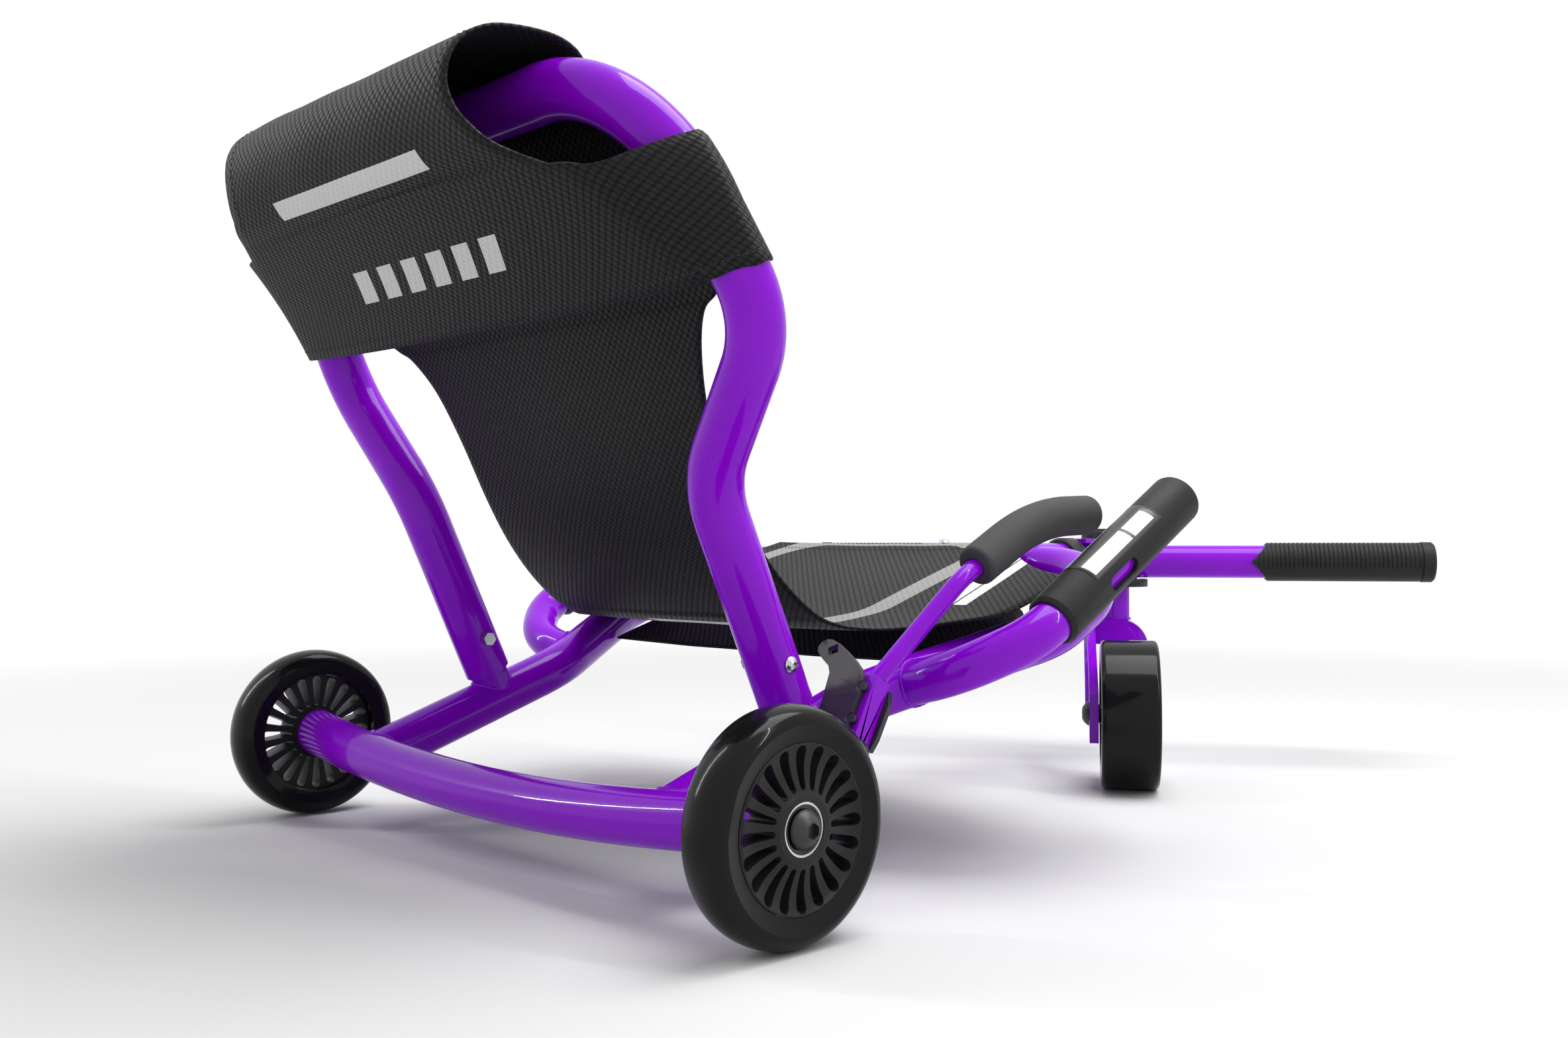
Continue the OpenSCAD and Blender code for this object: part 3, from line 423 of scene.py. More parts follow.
def cloth_finish(name, prints=()):
    """prints are (colour, function of a Graph and thread coordinates that gives a mask)."""
    material, graph, shader = new_material(name)
    shader["Specular IOR Level"].default_value = 0.18
    shader["Sheen Weight"].default_value = 0.02
    shader["Sheen Roughness"].default_value = 0.4
    thread = graph.add("Attribute", attribute_name="thread").outputs["Vector"]
    weave = use_group(graph, "weave", {"Thread": thread, "Yarn": YARN, "Gap": PAINTED_GAP_SHADE})
    colour, roughness = weave["Color"], weave["Roughness"]
    for ink, drawn in prints:
        mask = drawn(graph, thread)
        worn = graph.times(mask, graph.span(weave["Height"], 0.05, 0.35, 0.55, 0.97))
        colour = graph.mix(worn, colour, ink)
        roughness = graph.math("MULTIPLY_ADD", worn, -0.12, roughness)
    marks = use_group(graph, "use_marks", {"Dust": 0.01, "Rub": 0.0})
    dusty = graph.mix(marks["Dust"], colour, CLOTH_DUST)
    feed_shader(graph, shader, dusty, roughness, weave["Height"], YARN_RELIEF)
    return material


def bars(*rows):
    """A print of several bars, each (middle, half size, lean)."""
    def drawn(graph, thread):
        mask = 0.0
        for middle, half, lean in rows:
            inputs = {"Thread": thread, "Middle": middle, "Half": half, "Lean": lean}
            mask = graph.math("MAXIMUM", mask, use_group(graph, "printed_bar", inputs)["Mask"])
        return mask
    return drawn


def ring(middle, core, radius, width):
    """A print of one rounded frame: its middle line lies radius outside the core's half size."""
    def drawn(graph, thread):
        return use_group(graph, "printed_ring", {"Thread": thread, "Middle": middle, "Core": core,
                                                 "Radius": radius, "Width": width})["Mask"]
    return drawn


print("cloth finish ready")

# %% [markdown]
# ## Finishes on the CAD parts
# Each CAD part names a material slot in the record. The slots are the link between the packed
# model and this lesson, so one loop dresses every hard part. The tessellated edges get a small
# bevel that catches light, as real pressed and turned parts do.

# %% Dress the CAD parts
EDGE_LIMIT = math.radians(32)
WELD_WITHIN = 0.002 * MM
BEVEL = {"paint": 0.5, "black_metal": 0.35, "hub": 0.5, "grip": 0.5, "cover": 0.6, "tyre": 0.6, "shoe": 0.8}
# A drawn tube has no edge along it, so these keep the exact shading that they come with
DRAWN = ("tube", "rail", "loop", "stub", "foot_bar", "rod")
slot_of = {part["node"]: part["material_slot"] for part in frame["record"]["subparts"]}
for name, piece in nodes.items():
    slot = slot_of[name]
    if slot not in finishes:
        continue
    piece.data.materials.clear()
    piece.data.materials.append(finishes[slot])
    if slot in BEVEL and not any(word in name for word in DRAWN):
        weld = piece.modifiers.new("join_corners", "WELD")
        weld.merge_threshold = WELD_WITHIN
        bevel = piece.modifiers.new("soft_edges", "BEVEL")
        bevel.width = BEVEL[slot] * MM
        bevel.segments = 2
        bevel.limit_method = "ANGLE"
        bevel.angle_limit = EDGE_LIMIT
        bevel.harden_normals = True
print("dressed CAD parts:", sum(slot in finishes for slot in slot_of.values()))

# %% [markdown]
# ## Helpers for shapes
# New forms come from a few helpers: a smooth path through points, a skin over rings of points, a
# round solid along a line, and a grid of cloth. Cloth gets its thickness from a modifier, and
# each of its points also stores its thread coordinates, in metres as the sheet was cut.

# %% Points and lines
SIDES = ((-1, "left"), (1, "right"))


def clamp(value, low=0.0, high=1.0):
    return min(high, max(low, value))


def spread(ends, i, count):
    """Step i of count even steps from the first end to the second."""
    return ends[0] + (ends[1] - ends[0]) * i / count


def full_turn(count):
    """Angles in radians, evenly round a circle."""
    return [2 * math.pi * k / count for k in range(count)]


def between(p, q, r, s, t):
    """The smooth curve from q to r at share t, with p before and s after them."""
    square = (2 * p - 5 * q + 4 * r - s) * t * t
    cube = (3 * q - p - 3 * r + s) * t ** 3
    return 0.5 * (2 * q + (r - p) * t + square + cube)


def smooth_path(points, steps):
    """A smooth curve through rows of numbers, with steps between two of them."""
    padded = [points[0], *points, points[-1]]
    rows = []
    for four in zip(padded, padded[1:], padded[2:], padded[3:]):
        rows += [tuple(between(*numbers, k / steps) for numbers in zip(*four)) for k in range(steps)]
    rows.append(tuple(points[-1]))
    return rows


def running_lengths(line):
    """The length travelled at each point of a line, from zero."""
    lengths = [0.0]
    for a, b in zip(line, line[1:]):
        lengths.append(lengths[-1] + (b - a).length)
    return lengths


def bent_line(points, bends, spacing):
    """Points along a tube's centre line with round bends, about spacing apart, in metres."""
    points = [at(*p) for p in points]
    line = []
    for i, corner in enumerate(points):
        if bends[i] == 0:
            line.append(corner)
            continue
        before = (points[i - 1] - corner).normalized()
        after = (points[i + 1] - corner).normalized()
        half = before.angle(after) / 2
        radius = bends[i] * MM
        centre = corner + (before + after).normalized() * radius / math.sin(half)
        start = corner + before * radius / math.tan(half)
        turn = math.pi - 2 * half
        axis = before.cross(after).normalized()
        count = max(4, int(radius * turn / spacing))
        for k in range(count + 1):
            line.append(centre + Matrix.Rotation(-turn * k / count, 3, axis) @ (start - centre))
    even = [line[0]]
    for a, b in zip(line, line[1:]):
        count = max(1, round((b - a).length / spacing))
        even += [a.lerp(b, k / count) for k in range(1, count + 1)]
    return even


print("point helpers ready")

# %% Meshes and pieces


def finished(made, name, outward=True):
    """The mesh of a bmesh, with its faces turned outward where that is asked for."""
    if outward:
        bmesh.ops.recalc_face_normals(made, faces=made.faces)
    mesh = bpy.data.meshes.new(name)
    made.to_mesh(mesh)
    made.free()
    return mesh


def ring_mesh(name, rings, closed=False):
    """A skin over rings of points, capped at its ends, or closed from the last to the first."""
    made = bmesh.new()
    loops = [[made.verts.new(point) for point in ring] for ring in rings]
    if closed:
        loops.append(loops[0])
    for low, high in zip(loops, loops[1:]):
        for k in range(len(low)):
            after = (k + 1) % len(low)
            made.faces.new((low[k], low[after], high[after], high[k]))
    if not closed:
        made.faces.new(loops[0][::-1])
        made.faces.new(loops[-1])
    return finished(made, name)


def swept(line, profile, sides=20, closed=False):
    """A round solid along a line. profile is a list of (distance along, radius), both in metres."""
    frames, side = [], None
    last = len(line) - 1
    for i, (point, travelled) in enumerate(zip(line, running_lengths(line))):
        before = line[i - 1] if i or closed else point
        after = line[(i + 1) % len(line)] if i < last or closed else point
        ahead = (after - before).normalized()
        side = ahead.orthogonal() if side is None else side - ahead * side.dot(ahead)
        side.normalize()
        frames.append((travelled, point, side, ahead.cross(side)))
    rings = []
    for distance, radius in profile:
        i = max(1, next((k for k, f in enumerate(frames) if f[0] >= distance), last))
        low, high = frames[i - 1], frames[i]
        share = clamp((distance - low[0]) / max(high[0] - low[0], 1e-9))
        centre, x, y = (low[k].lerp(high[k], share) for k in (1, 2, 3))
        rings.append([centre + (x * math.cos(a) + y * math.sin(a)) * max(radius, 1e-5)
                      for a in full_turn(sides)])
    return ring_mesh("swept", rings, closed)


def new_piece(name, mesh, material, body, slot):
    """A visible piece that rides on a body and shows one material."""
    piece = add_object(name, mesh)
    mesh.materials.append(material)
    mesh.shade_smooth()
    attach(piece, body)
    return piece


print("mesh helpers ready")

# %% Cloth helpers
CLOTH_THICKNESS = 1.7
CLOTH_LIFT = 1.2


def grid_rows(count, width, place):
    """Rows of points and rows of thread coordinates, where place(i, j) gives one of each."""
    cells = [[place(i, j) for j in range(width)] for i in range(count)]
    return [[cell[0] for cell in row] for row in cells], [[cell[1] for cell in row] for row in cells]


def numbered(start, count, width):
    """Lines of point numbers for count rows of a grid, from start on."""
    return [range(start + i * width, start + (i + 1) * width) for i in range(count)]


def strips(lines):
    """Quads between each line of point numbers and the next."""
    return [(low[j], low[j + 1], high[j + 1], high[j])
            for low, high in zip(lines, lines[1:]) for j in range(len(low) - 1)]


def cloth_mesh(rows, threads, faces):
    """A mesh through rows of points, with their thread coordinates, and the sheet's area."""
    mesh = bpy.data.meshes.new("cloth")
    mesh.from_pydata([p for row in rows for p in row], [], faces)
    layer = mesh.attributes.new("thread", "FLOAT_VECTOR", "POINT")
    layer.data.foreach_set("vector", [c for row in threads for t in row for c in (*t, 0.0)])
    mesh.validate()
    return mesh, sum(face.area for face in mesh.polygons)


def cloth_grid(rows, threads):
    return cloth_mesh(rows, threads, strips(numbered(0, len(rows), len(rows[0]))))


def thicken(piece, thickness=CLOTH_THICKNESS):
    solid = piece.modifiers.new("thickness", "SOLIDIFY")
    solid.thickness = thickness * MM
    solid.offset = 0.0
    solid.use_even_offset = True


def path_lengths(path):
    """Running length along a side view, whose rows start with two coordinates."""
    lengths = [0.0]
    for a, b in zip(path, path[1:]):
        lengths.append(lengths[-1] + math.dist(a[:2], b[:2]))
    return lengths


def path_normal(path, i):
    a, b = path[max(i - 1, 0)], path[min(i + 1, len(path) - 1)]
    run = math.dist(a[:2], b[:2])
    return -(b[1] - a[1]) / run, (b[0] - a[0]) / run


print("cloth helpers ready")

# %% [markdown]
# ## The seat cloth
# One sheet hangs from the top of the backrest, sweeps down to the seat and lies over the
# rails up to the front cross tube. Side on, it is one smooth curve through a few stations,
# each with its own width. Cloth held at both ends hollows a little across its middle, so its
# rows sink by up to three millimetres there, and a slow ripple keeps it from looking pressed.

# %% Straight sheets
RIPPLE = 0.6
RIPPLE_SIZE = 62


def straight_sheet(name, stations, steps, columns, sag_at, material):
    """A sheet whose rows lie straight across, as (piece, its rows, flat size, area)."""
    path = smooth_path(stations, steps)
    lengths = path_lengths(path)

    def place(i, j):
        y, z, half = path[i]
        ny, nz = path_normal(path, i)
        u = 2 * j / columns - 1
        x = half * u
        inner = 1 - u * u
        ripple = RIPPLE * noise.noise(Vector((x, y, z)) / RIPPLE_SIZE)
        raised = CLOTH_LIFT - sag_at(y, z) * inner + ripple * inner
        return at(x, y + ny * raised, z + nz * raised), (x * MM, lengths[i] * MM)

    rows, threads = grid_rows(len(path), columns + 1, place)
    mesh, area = cloth_grid(rows, threads)
    piece = new_piece(name, mesh, material, "frame", "cloth")
    thicken(piece)
    flat = (2 * max(station[2] for station in stations) * MM, lengths[-1] * MM)
    print(f"{name}: {flat[0]:.3f} by {flat[1]:.3f} m, {area:.4f} m2")
    return piece, rows, flat, area


# %% Seat cloth
# Each station is forward, up and half width, in millimetres; the last lies on the cross tube
SEAT_STATIONS = [
    (-31.5, 466, 142), (-29, 452, 150), (-20, 432, 178), (-9, 412, 196), (5, 385, 200), (17, 363, 193),
    (25.3, 350, 179), (28.6, 341, 163.3), (39.4, 318, 148.4), (54, 283, 138.5), (74, 240, 135),
    (93, 210, 136.3), (114, 185, 138), (137, 165, 140), (156, 154.5, 143), (175, 150, 156),
    (192, 151, 180), (214, 156, 208), (232, 160.5, 225), (262, 170, 229), (298, 181.5, 226),
    (316, 187, 192), (336, 193, 163), (358, 200, 141), (375, 206.5, 130)]
SEAT_SAG = 3.0
SAG_TOP = 341
SAG_DROP = 190
SAG_FRONT = 150
SEAT_MIDDLE = 0.505


def seat_sag(y, z):
    """Cloth hollows where nothing lies under it: between the back tubes and between the rails."""
    if z > SAG_TOP:
        return 0.0
    if y >= SAG_FRONT:
        return SEAT_SAG * 0.6
    return SEAT_SAG * math.sin(math.pi * clamp((SAG_TOP - z) / SAG_DROP))


side_bars = [((side * (0.158 + 0.014 * k), SEAT_MIDDLE + 0.02 - 0.012 * k, 0.0),
              (0.0055, 0.066 - 0.015 * k, 0.0), side * -0.12) for side, _ in SIDES for k in range(2)]
seat_print = [
    (PRINT_GREY, ring((0.0, SEAT_MIDDLE, 0.0), (0.062, 0.048, 0.0), 0.052, 0.021)),
    (PRINT_WHITE, bars(*side_bars,
                       ((0.0, SEAT_MIDDLE + 0.122, 0.0), (0.07, 0.007, 0.0), 0.5),
                       ((0.0, SEAT_MIDDLE - 0.124, 0.0), (0.05, 0.005, 0.0), 0.5))),
]
seat_finish = cloth_finish("seat_cloth_weave", seat_print)
seat_cloth, seat_rows, seat_flat, seat_area = straight_sheet(
    "seat_cloth", SEAT_STATIONS, 7, 56, seat_sag, seat_finish)
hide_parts("seat_sling")

# %% [markdown]
# ## Under panel and front hem
# The cloth turns round the front cross tube and comes back below as a short panel, which keeps
# the seat tight. The turn is in two halves, because the boom's stub leaves the tube between them.

# %% Under panel
UNDER_STATIONS = [(236, 126, 185), (262, 134, 187), (300, 146, 184),
                  (330, 155, 168), (352, 161.5, 142), (374, 169, 130)]
UNDER_SAG = 2.0
plain_weave = cloth_finish("plain_weave")
under_cloth, _, under_flat, under_area = straight_sheet(
    "under_cloth", UNDER_STATIONS, 6, 44, lambda y, z: UNDER_SAG, plain_weave)
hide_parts("under_panel")

# %% Front hem
CROSS_TUBE = (383, 188)
HEM_RADIUS = 18.3
HEM_ARC = (-98, 98)
HEM_SPAN = (26, 130)
HEM_ROWS = 56
HEM_COLUMNS = 26
for side, label in SIDES:
    def on_hem(i, j, side=side):
        angle = math.radians(spread(HEM_ARC, i, HEM_ROWS))
        bulge = HEM_RADIUS + 0.25 * math.sin(3 * angle)
        x = side * spread(HEM_SPAN, j, HEM_COLUMNS)
        y = CROSS_TUBE[0] + bulge * math.cos(angle)
        z = CROSS_TUBE[1] + bulge * math.sin(angle)
        return at(x, y, z), (x * MM, angle * HEM_RADIUS * MM)
    hem_mesh, hem_area = cloth_grid(*grid_rows(HEM_ROWS + 1, HEM_COLUMNS + 1, on_hem))
    hem = new_piece(f"{label}_hem_cloth", hem_mesh, plain_weave, "frame", "cloth")
    thicken(hem)
    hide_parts("front_hem")
print(f"hem halves: {hem_area:.4f} m2 each")

# %% [markdown]
# ## The pocket on the backrest
# Behind the backrest the cloth makes a flat panel that wraps round both back tubes, and a
# loose loop that goes on over the top bar. It is one sheet: a closed band whose upper edge
# rises and falls, and above its rear middle the loop. The band is a smooth ring through a few
# points, drawn at each height, so both ends of the wrap keep their fold round the tubes. Pale
# bars are printed on its rear face.

# %% Pocket: the ring at one height
HEM_Z = 341
BAND_HEIGHT = 61
POCKET_INSET = 1.2
WRAP_R = 19.05
WRAP_FROM = -10
WRAP_STEP = 22.5
BACK_POINTS = [(164.8, 104.7, 87.9), (164.5, 32.9, 242.2), (231.5, 14.8, 325.9),
               (201.4, -53.6, 458.8), (-201.4, -53.6, 458.8)]
BACK_BENDS = [0, 67.6, 62.3, 97, 0]
tube_line = bent_line(BACK_POINTS, BACK_BENDS, 1.5 * MM)


def tube_at(z):
    """Where the right back tube's centre is at height z, and how far it leans sideways and forward."""
    i = next(k for k, p in enumerate(tube_line) if p.z > z * MM)
    low, high = tube_line[i - 1], tube_line[i]
    lean = (high - low) / (high.z - low.z)
    spot = (low + lean * (z * MM - low.z)) / MM
    return (spot.x, spot.y + MID_Y), (lean.x, lean.y)


def wrap(z, degrees):
    """A point of the level section of the cloth round the leaning tube, which is an ellipse."""
    (x, y), (lean_x, lean_y) = tube_at(z)
    slope = math.hypot(lean_x, lean_y)
    along_x, along_y = lean_x / slope, lean_y / slope
    dx, dy = math.cos(math.radians(degrees)), math.sin(math.radians(degrees))
    stretch = (math.hypot(1.0, slope) - 1.0) * (dx * along_x + dy * along_y)
    return x + WRAP_R * (dx + stretch * along_x), y + WRAP_R * (dy + stretch * along_y)


def half_ring(z):
    """Points of the right half of the band at height z, from the rear middle to the front middle."""
    # Each place moves in or back with height, by slopes fitted to the photograph's outlines
    rise = z - HEM_Z
    share = max(0.0, rise / BAND_HEIGHT)
    rear = -22 - 0.936 * rise - 10 * share ** 2.5
    middle = 22 - 0.485 * rise
    flat = 214 - 0.62 * rise
    corner = (flat + (0.48 - 0.16 * share) * (249.5 - 0.1 * rise - flat), rear + 8 + 5 * share)
    beside = wrap(z, WRAP_FROM)
    wall = ((corner[0] + beside[0]) / 2 + 1.2, (corner[1] + beside[1]) / 2 - 0.6)
    around = [wrap(z, WRAP_FROM + WRAP_STEP * k) for k in range(5)]
    return [(0, rear), (flat * 0.5, rear), (flat, rear + 0.5), corner, wall, *around,
            (192, middle + 0.6), (90, middle), (0, middle)]


print("pocket ring: points of a half:", len(half_ring(HEM_Z)))

# %% Pocket: the band
# How far the hem and the upper edge lie above the rear middle of the hem, at each point of half the ring
HEM_RISE = [0, 0, 2, 5, 9, 12, 15, 17, 18, 18, 18, 18, 18]
TOP_RISE = [67, 66, 61.5, 60.5, 68.5, 79, 81, 79, 75, 69, 64, 61, 61]
RING_STEPS = 6
BAND_LEVELS = 14
BAND_SLOPE = 1.37
BAND_WAVE = 0.9
BAND_WAVE_SIZE = 70


def whole(half, flip):
    """A list for the whole ring, from the front middle over the left, rear and right to the front."""
    return [flip(p) for p in half[::-1]] + list(half[1:])


def ring_at(z):
    return smooth_path(whole(half_ring(z), lambda p: (-p[0], p[1])), RING_STEPS)


def heights(rises):
    return [HEM_Z + t[0] for t in smooth_path([(t,) for t in whole(rises, lambda t: t)], RING_STEPS)]


hems, tops = heights(HEM_RISE), heights(TOP_RISE)
columns = len(tops)
centre = columns // 2
band_rows, band_threads = [], []
for level in range(BAND_LEVELS + 1):
    row, raised = [], []
    for j in range(columns):
        z = spread((hems[j], tops[j]), level, BAND_LEVELS)
        around = ring_at(z)
        x, y = around[j]
        nx, ny = path_normal(around, j)
        loose = clamp((4 * RING_STEPS - abs(j - centre)) / RING_STEPS, 0.1)
        inset = POCKET_INSET + BAND_WAVE * loose * noise.noise(Vector((x, y, z)) / BAND_WAVE_SIZE)
        row.append(at(x + nx * inset, y + ny * inset, z))
        raised.append((z - HEM_Z) * BAND_SLOPE * MM)
    lengths = running_lengths(row)
    band_rows.append(row)
    band_threads.append([(length - lengths[centre], up) for length, up in zip(lengths, raised)])
print("pocket band:", len(band_rows), "rows of", columns)

# %% Pocket: the loop over the top bar
LOOP_STATIONS = [
    (-93, 408, 162.5), (-106, 415, 153), (-114, 423, 146.5), (-119.5, 431.5, 140.5), (-122.8, 441, 137),
    (-123.9, 450, 136), (-122.5, 460, 136.5), (-117, 470.5, 137), (-106.5, 479, 138), (-90, 484.4, 138),
    (-61, 486.2, 139), (-45.5, 482.4, 140), (-36.8, 473.5, 140), (-34.9, 462, 141)]
LOOP_WAVE = 1.3
LOOP_WAVE_SIZE = 55
FLARE = 10.0
LOOP_SPREAD = 2.2
BLEND_ROWS, FLARE_ROWS = 8, 9
# The loop grows from the band's upper edge between these two columns
first, final = centre - 2 * RING_STEPS, centre + 2 * RING_STEPS
loop_path = smooth_path(LOOP_STATIONS, 5)
loop_lengths = path_lengths(loop_path)
base_half = -band_rows[-1][first].x / MM
base_thread = band_threads[-1][centre][1]


def on_loop(i, j):
    """A point of row i + 1. The loop starts as wide as the band's edge, and flares on its left."""
    i += 1
    y, z, half = loop_path[i]
    ny, nz = path_normal(loop_path, i)
    u = band_rows[-1][first + j].x / MM / base_half
    wave = noise.noise(Vector((u * LOOP_SPREAD, y / LOOP_WAVE_SIZE, z / LOOP_WAVE_SIZE)))
    lift = LOOP_WAVE * wave * min(1.0, i / BLEND_ROWS)
    flare = FLARE * max(0.0, -u) * max(0.0, 1 - i / FLARE_ROWS)
    point = at(half * u - flare, y + ny * lift, z + nz * lift)
    return point, (half * u * MM, base_thread + loop_lengths[i] * MM)


loop_width = final - first + 1
loop_rows, loop_threads = grid_rows(len(loop_path) - 1, loop_width, on_loop)
band_top = BAND_LEVELS * columns
loop_lines = [range(band_top + first, band_top + final + 1)]
loop_lines += numbered(band_top + columns, len(loop_rows), loop_width)
pocket_faces = strips(numbered(0, BAND_LEVELS + 1, columns)) + strips(loop_lines)
pocket_mesh, pocket_area = cloth_mesh(band_rows + loop_rows, band_threads + loop_threads, pocket_faces)
print("pocket loop:", len(loop_rows), "rows of", loop_width)

# %% Pocket: the seam and the print
PRINT_PALE = grey(205)
UPPER_BAR, LOWER_BARS = 0.111, 0.047
sewn = bmesh.new()
sewn.from_mesh(pocket_mesh)
sewn.verts.ensure_lookup_table()
starts = [i * columns for i in range(BAND_LEVELS + 1)]
bmesh.ops.weld_verts(sewn, targetmap={sewn.verts[s + columns - 1]: sewn.verts[s] for s in starts})
sewn.to_mesh(pocket_mesh)
sewn.free()
short_bars = [((-0.075 + 0.03 * k, LOWER_BARS, 0.0), (0.009, 0.011, 0.0), 0.7) for k in range(6)]
pocket_print = [(PRINT_PALE, bars(((0.0, UPPER_BAR, 0.0), (0.088, 0.0065, 0.0), 0.0), *short_bars))]
pocket_finish = cloth_finish("pocket_cloth_weave", pocket_print)
pocket_cloth = new_piece("pocket_cloth", pocket_mesh, pocket_finish, "frame", "cloth")
thicken(pocket_cloth)
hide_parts("back_pocket")

# %% [markdown]
# ## Stitches
# Sheets are sewn, and the thread shows as a dashed row along each hem. Each stitch is a small
# rounded thread lying on the cloth. Rows run along the pocket's hem, the mouths of its loop and
# the front edge of the seat, each a few millimetres in from the edge.

# %% Stitch rows
THREAD_PITCH = 4.2 * MM
STITCH_SHARE = 0.62
STITCH_R = 0.45
STITCH_RISE = 0.95
stitch_shape = Matrix.Diagonal((THREAD_PITCH * STITCH_SHARE / 2, STITCH_R * MM, STITCH_R * MM, 1.0))
thread_finish = hard_finish("sewing_thread", linear(30, 30, 31), linear(44, 44, 45), 0.6, 0.75,
                            4000.0, 0.00005)


def part_way(row, inner, share):
    return [a.lerp(b, share) for a, b in zip(row, inner)]


def stitch_row(name, row, neighbour, sign=1.0):
    """One object with a row of stitches. The next row of the cloth tells which way is out."""
    normals = []
    for i, point in enumerate(row):
        ahead = row[min(i + 1, len(row) - 1)] - row[max(i - 1, 0)]
        normals.append(ahead.cross(neighbour[i] - point).normalized() * sign)
    line = [p + n * STITCH_RISE * MM for p, n in zip(row, normals)]
    made = bmesh.new()
    due = THREAD_PITCH
    for i, travelled in enumerate(running_lengths(line)):
        while travelled >= due:
            ahead = (line[i] - line[i - 1]).normalized()
            middle = line[i] - ahead * (travelled - due)
            turn = Matrix((ahead, normals[i].cross(ahead), normals[i])).transposed().to_4x4()
            bmesh.ops.create_icosphere(made, subdivisions=1, radius=1.0,
                                       matrix=Matrix.Translation(middle) @ turn @ stitch_shape)
            due += THREAD_PITCH
    new_piece(name, finished(made, name, outward=False), thread_finish, "frame", "cloth")


rear_part = slice(centre - 6 * RING_STEPS, centre + 6 * RING_STEPS + 1)
hem_row = part_way(band_rows[1], band_rows[2], 0.3)[rear_part]
stitch_row("pocket_hem_stitches", hem_row, band_rows[3][rear_part])
for label, pick, next_in, sign in (("left", 1, 2, -1.0), ("right", -2, -3, 1.0)):
    inner = [row[next_in] for row in loop_rows[4:]]
    edge = part_way([row[pick] for row in loop_rows[4:]], inner, 0.1)
    stitch_row(f"{label}_mouth_stitches", edge, inner, sign)
stitch_row("seat_front_stitches", seat_rows[-6], seat_rows[-5])
print("stitch rows: 4")

# %% [markdown]
# ## The brake lever's foam handle
# A sleeve of closed-cell foam is pushed over the end of the brake rod. It is one turned form: a
# bore where the rod goes in, a rounded lip, a straight sleeve and a rounded closed end, swept
# along the rod's bend. It moves with the lever.

# %% Foam handle
HANDLE_POINTS = [(225, 202, 192.1), (225, 265, 224), (225, 326, 226.6)]
HANDLE_BENDS = [0, 170, 0]
HANDLE_R, ROD_R, LIP, BORE_DEPTH = 13.5 * MM, 5.95 * MM, 3.2 * MM, 14 * MM
SLEEVE_RINGS = 60
handle_line = bent_line(HANDLE_POINTS, HANDLE_BENDS, 3 * MM)
handle_length = running_lengths(handle_line)[-1]
quarter = [math.pi / 2 * k / 5 for k in range(6)]
lip = [(LIP * (1 - math.cos(a)), HANDLE_R - LIP * (1 - math.sin(a))) for a in quarter]
straight = [(LIP + (handle_length - 2 * LIP) * k / SLEEVE_RINGS, HANDLE_R) for k in range(1, SLEEVE_RINGS)]
far_end = [(handle_length - d, r) for d, r in lip[::-1]] + [(handle_length, HANDLE_R * 0.4)]
handle_profile = [(BORE_DEPTH, ROD_R), (0.0, ROD_R), (0.0, HANDLE_R - 2 * LIP)] + lip + straight + far_end
handle_mesh = swept(handle_line, handle_profile, 40)
foam_handle = new_piece("foam_handle", handle_mesh, finishes["foam"], "brake_lever", "foam")
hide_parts("brake_handle")
print(f"foam handle: {handle_length:.3f} m along its middle")

# %% [markdown]
# ## Return spring
# The coil round the lever's pivot is a round wire, so it is swept along a helix with twenty-four
# steps a turn, closer than the CAD model's coil, and stands for it.

# %% Spring
PIVOT = (107.2, 83.6)
SPRING_START, SPRING_PITCH, SPRING_R, WIRE_R, SPRING_TURNS = 138.0, 2.2, 5.8, 0.8, 4
COIL_STEPS = 24 * SPRING_TURNS
coil = []
for k in range(COIL_STEPS + 1):
    a = 2 * math.pi * k / 24
    y, z = PIVOT[0] + SPRING_R * math.sin(a), PIVOT[1] - SPRING_R * math.cos(a)
    coil.append(at(SPRING_START + SPRING_PITCH * k / 24, y, z))
coil_length = running_lengths(coil)[-1]
coil_profile = [(coil_length * k / COIL_STEPS, WIRE_R * MM) for k in range(COIL_STEPS + 1)]
spring = new_piece("spring_coil", swept(coil, coil_profile, 12), finishes["steel"], "frame", "steel")
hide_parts("brake_spring")
print(f"spring wire: {coil_length:.3f} m")

# %% [markdown]
# ## Wheels
# A wheel is turned: its tyre and its hub are profiles spun round the axle. Seen close, the hub's
# web is a shallow dish between the boss and the rim, with twenty teardrop slots through it, and
# the tyre's side slopes down to meet the rim. A spin of a fine profile shows that curve better
# than the CAD model's flat web can, and the slots are cut with a boolean. The front tyre is the
# CAD part as it came.

# %% Spun profiles
WHEEL_R = 62.5
RIM_R = 44.1
SLOTS = 20
SHARP_FROM = math.radians(30)
WEB_STEPS = 14


def spun(profile, segments=128):
    """A closed profile of (radius, distance along the axle), in millimetres, spun round X."""
    rings = [[(along * MM, radius * math.cos(a) * MM, radius * math.sin(a) * MM)
              for radius, along in profile] for a in full_turn(segments)]
    return ring_mesh("spun", rings, closed=True)


def arc(cx, cy, radius, angles, count):
    """Points of an arc between two angles in degrees."""
    steps = (math.radians(spread(angles, k, count)) for k in range(count + 1))
    return [(cx + radius * math.cos(a), cy + radius * math.sin(a)) for a in steps]


def slot_outline():
    """One teardrop slot, narrow near the boss and wide at the rim, as (radius, offset) points."""
    near, far, near_r, far_r = 21.5, 39.2, 1.7, 3.4
    lean = math.degrees(math.asin((far_r - near_r) / (far - near)))
    return arc(far, 0, far_r, (-90 - lean, 90 + lean), 12) + arc(near, 0, near_r, (90 + lean, 270 - lean), 8)


